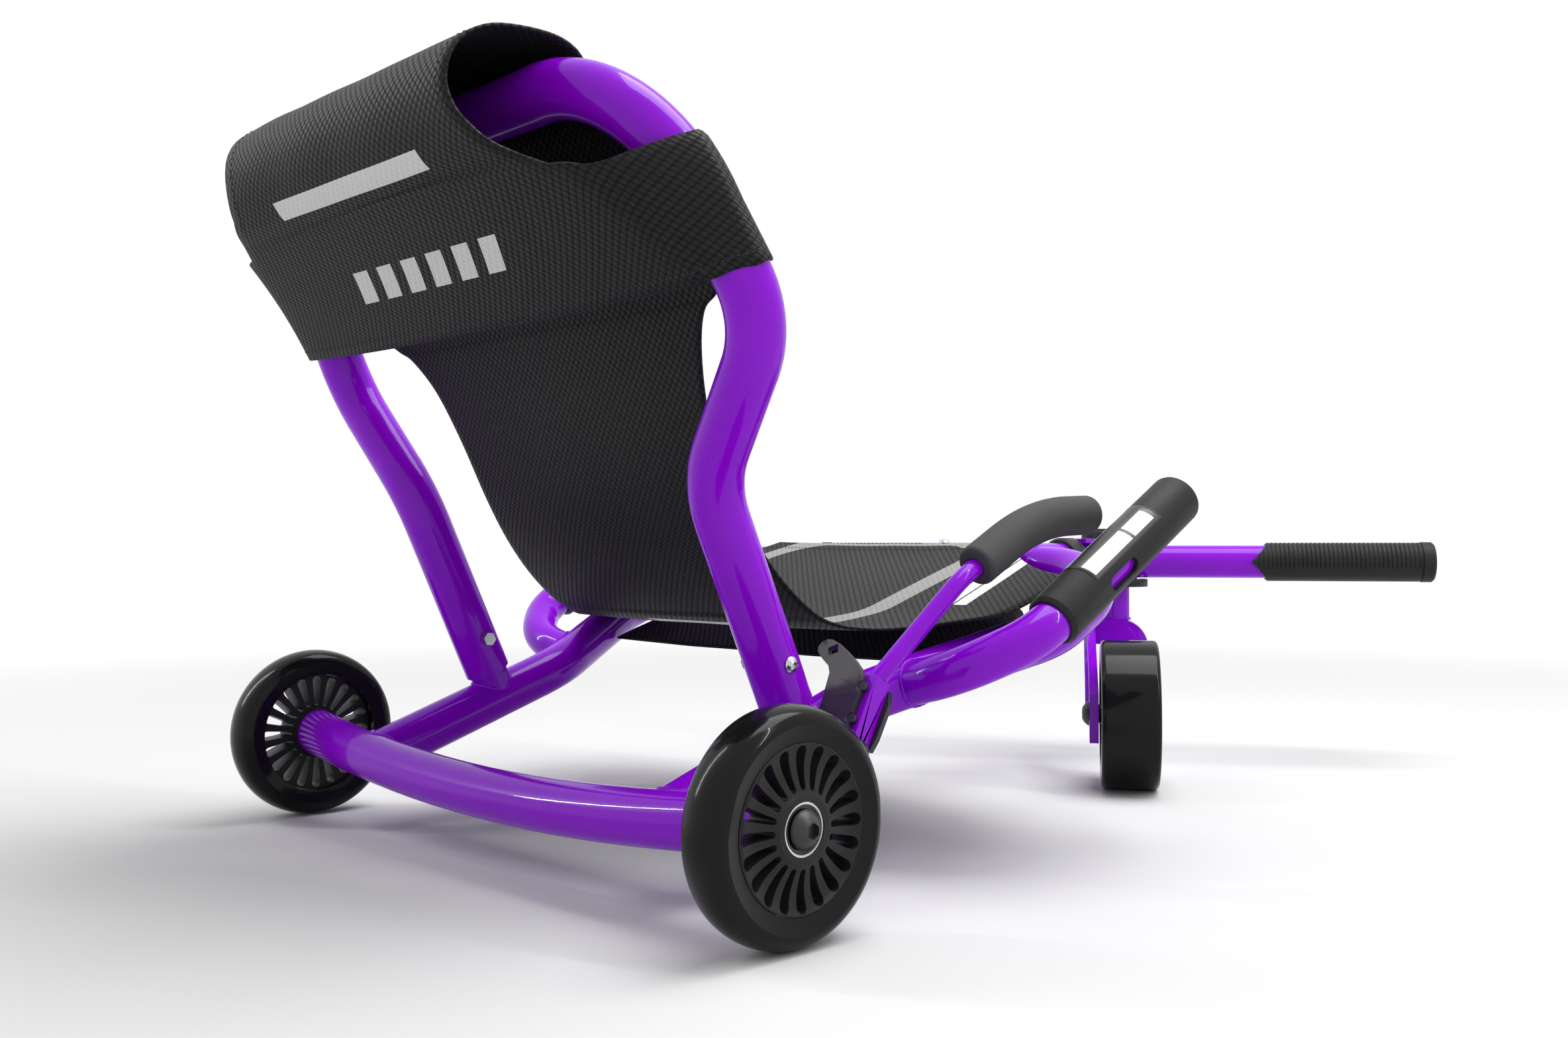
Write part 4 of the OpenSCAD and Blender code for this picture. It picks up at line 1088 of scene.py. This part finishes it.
def dished(ends, level, dip):
    """Points of a web's face between two radii, with its lowest place nearer the boss."""
    dips = [dip * math.sin(math.pi * (k / WEB_STEPS) ** 0.8) ** 0.9 for k in range(WEB_STEPS + 1)]
    return [(spread(ends, k, WEB_STEPS), level - d) for k, d in enumerate(dips)]


def slot_cutter(low, high):
    """All slots as one mesh of prisms between two places along the axle."""
    made = bmesh.new()
    outline = slot_outline()
    for a in full_turn(SLOTS):
        c, s = math.cos(a), math.sin(a)
        ends = [[made.verts.new((x * MM, (r * c - offset * s) * MM, (r * s + offset * c) * MM))
                 for r, offset in outline] for x in (low, high)]
        made.faces.new(ends[0])
        made.faces.new(ends[1][::-1])
        for i in range(len(outline)):
            j = (i + 1) % len(outline)
            made.faces.new((ends[0][i], ends[1][i], ends[1][j], ends[0][j]))
    return finished(made, "slot_cutter")


def hub_mesh(profile, low, high):
    """The spun hub with its slots cut through the web."""
    hub = add_object("hub_blank", spun(profile))
    cutter = add_object("slot_cutter", slot_cutter(low, high))
    cut = hub.modifiers.new("slots", "BOOLEAN")
    cut.operation = "DIFFERENCE"
    cut.solver = "EXACT"
    cut.object = cutter
    mesh = bpy.data.meshes.new_from_object(hub.evaluated_get(bpy.context.evaluated_depsgraph_get()))
    bpy.data.objects.remove(hub)
    bpy.data.objects.remove(cutter)
    return mesh


def set_on_axle(piece, where):
    piece.data.transform(where)
    piece.data.set_sharp_from_angle(angle=SHARP_FROM)


print("wheel helpers ready")

# %% Rear hubs and tyres
REAR_HALF = 15.6
TRACK = 522.4
CROWN_R = 0.9 * 2 * REAR_HALF
SHOULDER_R = 9.0
rear_hub = [(14.02, -8.5), (17, -8.5), (18.5, -6), (43.8, -6), (43.8, 12.9), (43.4, 13.2)]
rear_hub += dished((42.9, 20.0), 13.3, 2.5)
rear_hub += [(18.2, 13.7), (17.6, 14.1), (14.02, 14.1), (14.02, 5.6), (12, 5.6), (12, -0.4), (14.02, -0.4)]
rear_side = [(RIM_R, 12.7), (46.0, 13.0), (49.0, 14.2), (52.0, 15.1)]
shoulder_z = REAR_HALF - SHOULDER_R
crown_at = WHEEL_R - CROWN_R
shoulder_at = crown_at + math.sqrt((CROWN_R - SHOULDER_R) ** 2 - shoulder_z ** 2)
meeting = math.degrees(math.atan2(shoulder_z, shoulder_at - crown_at))
half_tyre = rear_side + arc(shoulder_at, shoulder_z, SHOULDER_R, (90, meeting), 14)[1:]
half_tyre += arc(crown_at, 0, CROWN_R, (meeting, 0), 12)[1:]
rear_tyre = half_tyre + [(r, -x) for r, x in half_tyre[-2::-1]]
hub_shape = hub_mesh(rear_hub, -10, 20)
tyre_shape = spun(rear_tyre, 160)
for side, label in SIDES:
    turned = Matrix.Rotation(0 if side > 0 else math.pi, 4, "Z")
    where = Matrix.Translation(at(side * TRACK / 2, 0, WHEEL_R)) @ turned
    for kind, shape in (("hub", hub_shape), ("tyre", tyre_shape)):
        name = f"{label}_rear_{kind}"
        piece = new_piece(f"{name}_turned", shape.copy(), finishes[kind], f"{label}_rear_wheel", kind)
        set_on_axle(piece, where)
        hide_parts(name)
print("rear wheels:", len(hub_shape.polygons), "faces in a hub")

# %% Front hub
STEER_Y = 707
STEER_REST = math.radians(34.5)
STEER_RIGHT = Vector((math.cos(STEER_REST), math.sin(STEER_REST), 0.0))
STEER_BACK = Vector((math.sin(STEER_REST), -math.cos(STEER_REST), 0.0))
steered = Matrix.Translation(at(0, STEER_Y, 0)) @ Matrix.Rotation(STEER_REST, 4, "Z")
front_wheel = steered @ Matrix.Translation(Vector((6, -201, WHEEL_R)) * MM)
front_hub = [(14.02, -14.6), (17, -14.6), (18.5, -12.6)] + dished((20.0, 42.9), -12.2, -2.2)
front_hub += [(43.8, -12.0), (43.8, 15.6)] + dished((42.9, 20.0), 16.2, 2.4)
front_hub += [(18.2, 18.6), (17.4, 19.6), (14.02, 19.6), (14.02, 11.5), (12, 11.5), (12, -6.5), (14.02, -6.5)]
front_shape = hub_mesh(front_hub, -22, 30)
front_turned = new_piece("front_hub_turned", front_shape, finishes["hub"], "front_wheel", "hub")
set_on_axle(front_turned, front_wheel)
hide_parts("front_hub")
print("front hub:", len(front_turned.data.polygons), "faces")

# %% [markdown]
# ## Foot grips
# Each foot grip is a moulded sleeve. Its mouth is cut to a point that faces the rider, a field of
# fine ribs faces the rider too, and a flange closes its end. It is lofted from rings whose
# radius changes with both the place along the bar and the angle round it, which a plain spin
# can't do.

# %% Foot grips
FOOT_BAR_Z = 189.4
SLEEVE_R, FLANGE_R, SLEEVE_BORE, EASE = 18.5, 19.0, 15.72, 0.4
MOUTH, MOUTH_DEPTH, EVEN_FROM, SLEEVE_TO, GRIP_END = 128.0, 15.5, 162.0, 280.6, 293.4
RIB_PITCH, RIB_DEPTH, RIB_GROOVE, RIB_FADE = 4.0, 0.9, 0.24, 7.0
RIBS_FROM, RIBS_TO = 132.0, 279.5
RIB_ANGLES = (-22.0, 118.0)
SLEEVE_SIDES, SLEEVE_STEP = 88, 0.36
# The flange, as (place along the bar, radius)
FLANGE = ((281.2, 17.8), (282.2, 17.8), (282.5, FLANGE_R), (GRIP_END - 1.9, FLANGE_R), (GRIP_END, 17.5))


def sleeve_radius(along, degrees):
    """Outer radius of the sleeve: smooth, but for the grooves between the ribs."""
    inside = clamp(min(degrees - RIB_ANGLES[0], RIB_ANGLES[1] - degrees) / RIB_FADE)
    if not RIBS_FROM < along < RIBS_TO:
        inside = 0.0
    across = abs((along / RIB_PITCH) % 1.0 - 0.5) / RIB_GROOVE
    return SLEEVE_R - RIB_DEPTH * inside * max(0.0, 1.0 - across)


def foot_grip_mesh(side):
    """The sleeve's rings, from its bore out over the mouth's edge and on to the flange."""
    turn = full_turn(SLEEVE_SIDES)
    angles = [(math.degrees(a) + 180.0) % 360.0 - 180.0 for a in turn]
    mouths = [MOUTH + MOUTH_DEPTH * abs(math.sin(a)) for a in turn]
    rings = [[(GRIP_END - 4.8, SLEEVE_BORE)] * SLEEVE_SIDES,
             [(m, SLEEVE_BORE) for m in mouths],
             [(m, sleeve_radius(m, d) - EASE) for m, d in zip(mouths, angles)]]
    for k in range(int((SLEEVE_TO - MOUTH) / SLEEVE_STEP) + 1):
        level = MOUTH + EASE + SLEEVE_STEP * k
        share = min(1.0, (level - MOUTH - EASE) / (EVEN_FROM - MOUTH - EASE))
        places = [level if share == 1.0 else m + EASE + (EVEN_FROM - m - EASE) * share for m in mouths]
        rings.append([(along, sleeve_radius(along, d)) for along, d in zip(places, angles)])
    rings += [[spot] * SLEEVE_SIDES for spot in FLANGE]
    middle = at(0, STEER_Y, FOOT_BAR_Z)

    def place(along, radius, a):
        round_bar = STEER_BACK * radius * math.cos(a) + Vector((0, 0, radius * math.sin(a)))
        return middle + (STEER_RIGHT * side * along + round_bar) * MM

    return ring_mesh("foot_grip", [[place(*spot, a) for spot, a in zip(ring, turn)] for ring in rings])


for side, label in SIDES:
    node = f"{label}_foot_grip"
    slot = slot_of[node]
    sleeve = new_piece(f"{node}_moulded", foot_grip_mesh(side), finishes[slot], "steering", slot)
    sleeve.data.set_sharp_from_angle(angle=math.radians(38))
    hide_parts(node)
print("foot grips: 2, faces each:", len(sleeve.data.polygons))

# %% [markdown]
# ## Bearings
# A sealed ball bearing shows a thin bright ring outside and a dark rubber seal inside it. Both
# belong to one CAD part, so the finish tells them apart by their distance from the wheel's axis.

# %% Bearing finish
RING_FROM = 12.8 * MM
SEAL = linear(20, 20, 21)


def bearing_finish(name, centre, axis):
    """Steel outside the seal's radius, measured from the axle's line, and dark rubber inside."""
    material = hard_finish(name, linear(206, 207, 210), linear(188, 190, 194), 0.16, 0.3, 2600.0,
                           0.00003, dust=0.0, rub=0.1)
    graph, shader = opened(material)
    place = graph.add("TexCoord").outputs["Object"]
    from_axle = graph.vector("CROSS_PRODUCT", graph.vector("SUBTRACT", place, tuple(centre)), tuple(axis))
    bright = graph.math("GREATER_THAN", graph.vector("LENGTH", from_axle), RING_FROM)
    metal = shader["Base Color"].links[0].from_socket
    graph.feed(shader["Base Color"], graph.mix(bright, SEAL, metal))
    graph.feed(shader["Metallic"], bright)
    return material


rear_bearing = bearing_finish("rear_bearing", at(0, 0, WHEEL_R), (1.0, 0.0, 0.0))
front_bearing = bearing_finish("front_bearing", front_wheel.translation, STEER_RIGHT)
for name, finish in (("left_rear_bearings", rear_bearing), ("right_rear_bearings", rear_bearing),
                     ("front_bearings", front_bearing)):
    nodes[name].data.materials.clear()
    nodes[name].data.materials.append(finish)
print("bearings dressed: 3")

# %% [markdown]
# ## Weld beads
# Every tube that ends on another is welded all round, and a bead has the ripple of its puddles.
# The seam is where one cylinder meets another, so each point of it is found by going out along
# the first tube until the distance to the second tube's axis is that tube's radius.

# %% Weld seams
FRAME_R, THIN_R, BAR_R = 16.7, 14.3, 15.7
BEAD_R = 1.5
BEAD_SINK, RIPPLE_HEIGHT = 0.2, 0.18
BEAD_POINTS = 150
PUDDLES = 44


def bead(name, seam, body):
    """A welded bead along a closed seam, with one ripple for each puddle."""
    travelled = running_lengths(seam + seam[:1])
    profile = []
    for distance in travelled[:-1]:
        ripple = RIPPLE_HEIGHT * abs(math.sin(math.pi * PUDDLES * distance / travelled[-1]))
        profile.append((distance, (BEAD_R - BEAD_SINK + ripple) * MM))
    new_piece(name, swept(seam, profile, 10, closed=True), finishes["paint"], body, "paint")


def ring_seam(centre, axis, radius):
    """Points of a circle round an axis, in metres. Lengths come in millimetres."""
    axis = Vector(axis).normalized()
    side = axis.orthogonal().normalized()
    over = axis.cross(side)
    return [at(*centre) + (side * math.cos(a) + over * math.sin(a)) * radius * MM
            for a in full_turn(BEAD_POINTS)]


def seam_on_tube(foot, towards, radius, other_point, other_axis, other_radius):
    """Points where a tube from foot meets another tube, found from a circle round the foot."""
    other = at(*other_point)
    d, e = (at(*towards) - at(*foot)).normalized(), Vector(other_axis).normalized()
    n = d - e * d.dot(e)
    seam = []
    for start in ring_seam(foot, d, radius):
        m = start - other
        m -= e * m.dot(e)
        half = m.dot(n)
        inside = half * half - n.dot(n) * (m.dot(m) - (other_radius * MM) ** 2)
        seam.append(start + d * (math.sqrt(max(0.0, inside)) - half) / n.dot(n))
    return seam


print("seam helpers ready")

# %% Weld beads
RAIL = [(165.7, 4.8, 54.6), (165.3, 161.8, 108.8), (229.2, 279.9, 147.7)]
STUB = [(164.8, 104.7, 87.9), (164.5, 32.9, 242.2)]
HAND_LOOP = [(179, 187.2, 115.7), (226.4, 183.4, 127.4)]
AXLE_AT_RAIL = [(165.7, -2.5, 53.2), (1.0, 0.023, 0.0857)]
CROSS_END = [(142.9, 383, 188)]
BAR_MIDDLE = (0, STEER_Y, FOOT_BAR_Z)
for side, label in SIDES:
    rail, stub, loop, axle, cross = ([(p[0] * side, p[1], p[2]) for p in points]
                                     for points in (RAIL, STUB, HAND_LOOP, AXLE_AT_RAIL, CROSS_END))
    first_run, second_run = (Vector(rail[k + 1]) - Vector(rail[k]) for k in (0, 1))
    for kind, seam in (
            ("rail", seam_on_tube(rail[0], rail[1], FRAME_R, *axle, FRAME_R)),
            ("stub", seam_on_tube(stub[0], stub[1], THIN_R, rail[0], first_run, FRAME_R)),
            ("loop", seam_on_tube(loop[0], loop[1], THIN_R, rail[1], second_run, FRAME_R)),
            ("cross", ring_seam(cross[0], (1, 0, 0), FRAME_R - 0.6))):
        bead(f"{label}_{kind}_bead", seam, "frame")
boom_seam = seam_on_tube((0, 389, 190), (0, 500, 190), THIN_R, (0, 383, 188), (1, 0, 0), FRAME_R)
bead("boom_bead", boom_seam, "frame")
steering_seam = seam_on_tube(BAR_MIDDLE, (0, STEER_Y, 133.3), THIN_R, BAR_MIDDLE, STEER_RIGHT, BAR_R)
bead("steering_bead", steering_seam, "steering")
bead("crown_bead", ring_seam((0, STEER_Y, 133.6), (0, 0, 1), THIN_R), "steering")

# %% [markdown]
# ## Bands on the hand grips
# Each grip's upper shell has a thin printed film round it. It is a patch of a cylinder that lies
# just over the shell, with two broad white bars in line along the grip and a thin one beside them.

# %% Grip bands
GRIP_LINE = [(262.6, 213.4, 148.9), (270, 365.4, 237.7)]
GRIP_LENGTH = 159.0
BAND_SPAN = (36.0, 118.0)
BAND_ANGLES = (-168.0, -30.0)
BAND_MIDDLE = 99
BAND_ROWS, BAND_COLUMNS = 27, 32
BAND_R = 17.83
FILM_THICKNESS = 0.12
film_finish = hard_finish("printed_film", grey(36), grey(44), 0.3, 0.42, 900.0, 0.00002, dust=0.02)
graph, film = opened(film_finish)
film_thread = graph.add("Attribute", attribute_name="thread").outputs["Vector"]
white_bars = bars(((0.0125, 0.062, 0.0), (0.0055, 0.023, 0.0), 0.0),
                  ((0.0125, 0.1, 0.0), (0.0055, 0.012, 0.0), 0.0),
                  ((-0.007, 0.077, 0.0), (0.0015, 0.037, 0.0), 0.0))(graph, film_thread)
dark_film = film["Base Color"].links[0].from_socket
graph.feed(film["Base Color"], graph.mix(white_bars, dark_film, linear(232, 232, 230)))
for side, label in SIDES:
    start, end = (at(p[0] * side, p[1], p[2]) for p in GRIP_LINE)
    z = (end - start).normalized()
    y = z.cross(Vector((1, 0, 0))).normalized()
    x = y.cross(z) * side
    base = end - z * GRIP_LENGTH * MM

    def on_band(i, j, base=base, x=x, y=y, z=z):
        along = spread(BAND_SPAN, i, BAND_ROWS)
        degrees = spread(BAND_ANGLES, j, BAND_COLUMNS)
        a = math.radians(degrees)
        point = base + z * along * MM + (x * math.cos(a) + y * math.sin(a)) * BAND_R * MM
        return point, (math.radians(degrees + BAND_MIDDLE) * BAND_R * MM, along * MM)

    band_mesh, _ = cloth_grid(*grid_rows(BAND_ROWS + 1, BAND_COLUMNS + 1, on_band))
    thicken(new_piece(f"{label}_grip_band", band_mesh, film_finish, "frame", "grip"), FILM_THICKNESS)
print("grip bands: 2")

# %% [markdown]
# ## Floor, world and lamps
# The scooter stands on a plain white floor that runs on into a white world. The world lights
# it softly from all round. Light Path shows that world as pure white to the camera and in
# reflections, while the light that it gives stays at a plain level. Two long lamps at the sides
# draw the bright streaks along the tubes, as strip lights in a studio do, and a panel overhead
# brightens what faces up.

# %% Floor
FLOOR_HALF = 7.0
FLOOR_GAP = 0.0002
FADE_FROM, FADE_TO = 0.75, 1.9
WHITE = (1.0, 1.0, 1.0, 1.0)
floor_mesh = bpy.data.meshes.new("floor")
corners = [(x * FLOOR_HALF, y * FLOOR_HALF, 0) for x, y in ((-1, -1), (1, -1), (1, 1), (-1, 1))]
floor_mesh.from_pydata(corners, [], [(0, 1, 2, 3)])
floor = add_object("floor", floor_mesh)
floor.location.z = -FLOOR_GAP
floor_finish, graph, _ = new_material("studio_floor")
graph.tree.nodes.clear()
place = graph.add("TexCoord").outputs["Object"]
fade = graph.span(graph.vector("LENGTH", place), FADE_FROM, FADE_TO)
matte = graph.add("BsdfDiffuse", {"Color": (0.72, 0.72, 0.72, 1.0)})
white = graph.add("Emission", {"Color": WHITE, "Strength": 1.0})
blend = graph.add("MixShader", {"Fac": fade})
graph.tree.links.new(matte.outputs[0], blend.inputs[1])
graph.tree.links.new(white.outputs[0], blend.inputs[2])
result = graph.add("OutputMaterial")
graph.tree.links.new(blend.outputs[0], result.inputs["Surface"])
floor_mesh.materials.append(floor_finish)
print("floor:", 2 * FLOOR_HALF, "m square")

# %% World and lamps
WORLD_LIGHT = 0.5
world = bpy.data.worlds.new("studio")
scene.world = world
world.use_nodes = True
graph = Graph(world.node_tree)
graph.tree.nodes.clear()
path = graph.add("LightPath").outputs
direct = graph.math("MAXIMUM", path["Is Camera Ray"], path["Is Glossy Ray"])
seen = graph.math("MAXIMUM", direct, path["Is Transmission Ray"])
strength = graph.span(seen, 0.0, 1.0, WORLD_LIGHT, 1.0)
back = graph.add("Background", {"Color": WHITE, "Strength": strength})
result = graph.add("OutputWorld")
graph.tree.links.new(back.outputs[0], result.inputs["Surface"])


def area_lamp(name, place, aim_at, size, watts):
    light = bpy.data.lights.new(name, "AREA")
    light.shape = "RECTANGLE"
    light.size, light.size_y = size
    light.energy = watts
    lamp = add_object(name, light)
    lamp.location = place
    lamp.rotation_euler = (Vector(aim_at) - Vector(place)).to_track_quat("-Z", "Y").to_euler()


area_lamp("left_strip", (-1.9, -1.5, 1.7), (0, 0, 0.2), (0.05, 2.0), 20.0)
area_lamp("right_strip", (2.2, 0.4, 2.0), (0, 0, 0.2), (0.05, 2.0), 20.0)
area_lamp("top_panel", (0.45, 0.38, 2.3), (0, 0, 0.1), (1.6, 1.6), 48.0)
print("lamps: 3, world light:", WORLD_LIGHT)
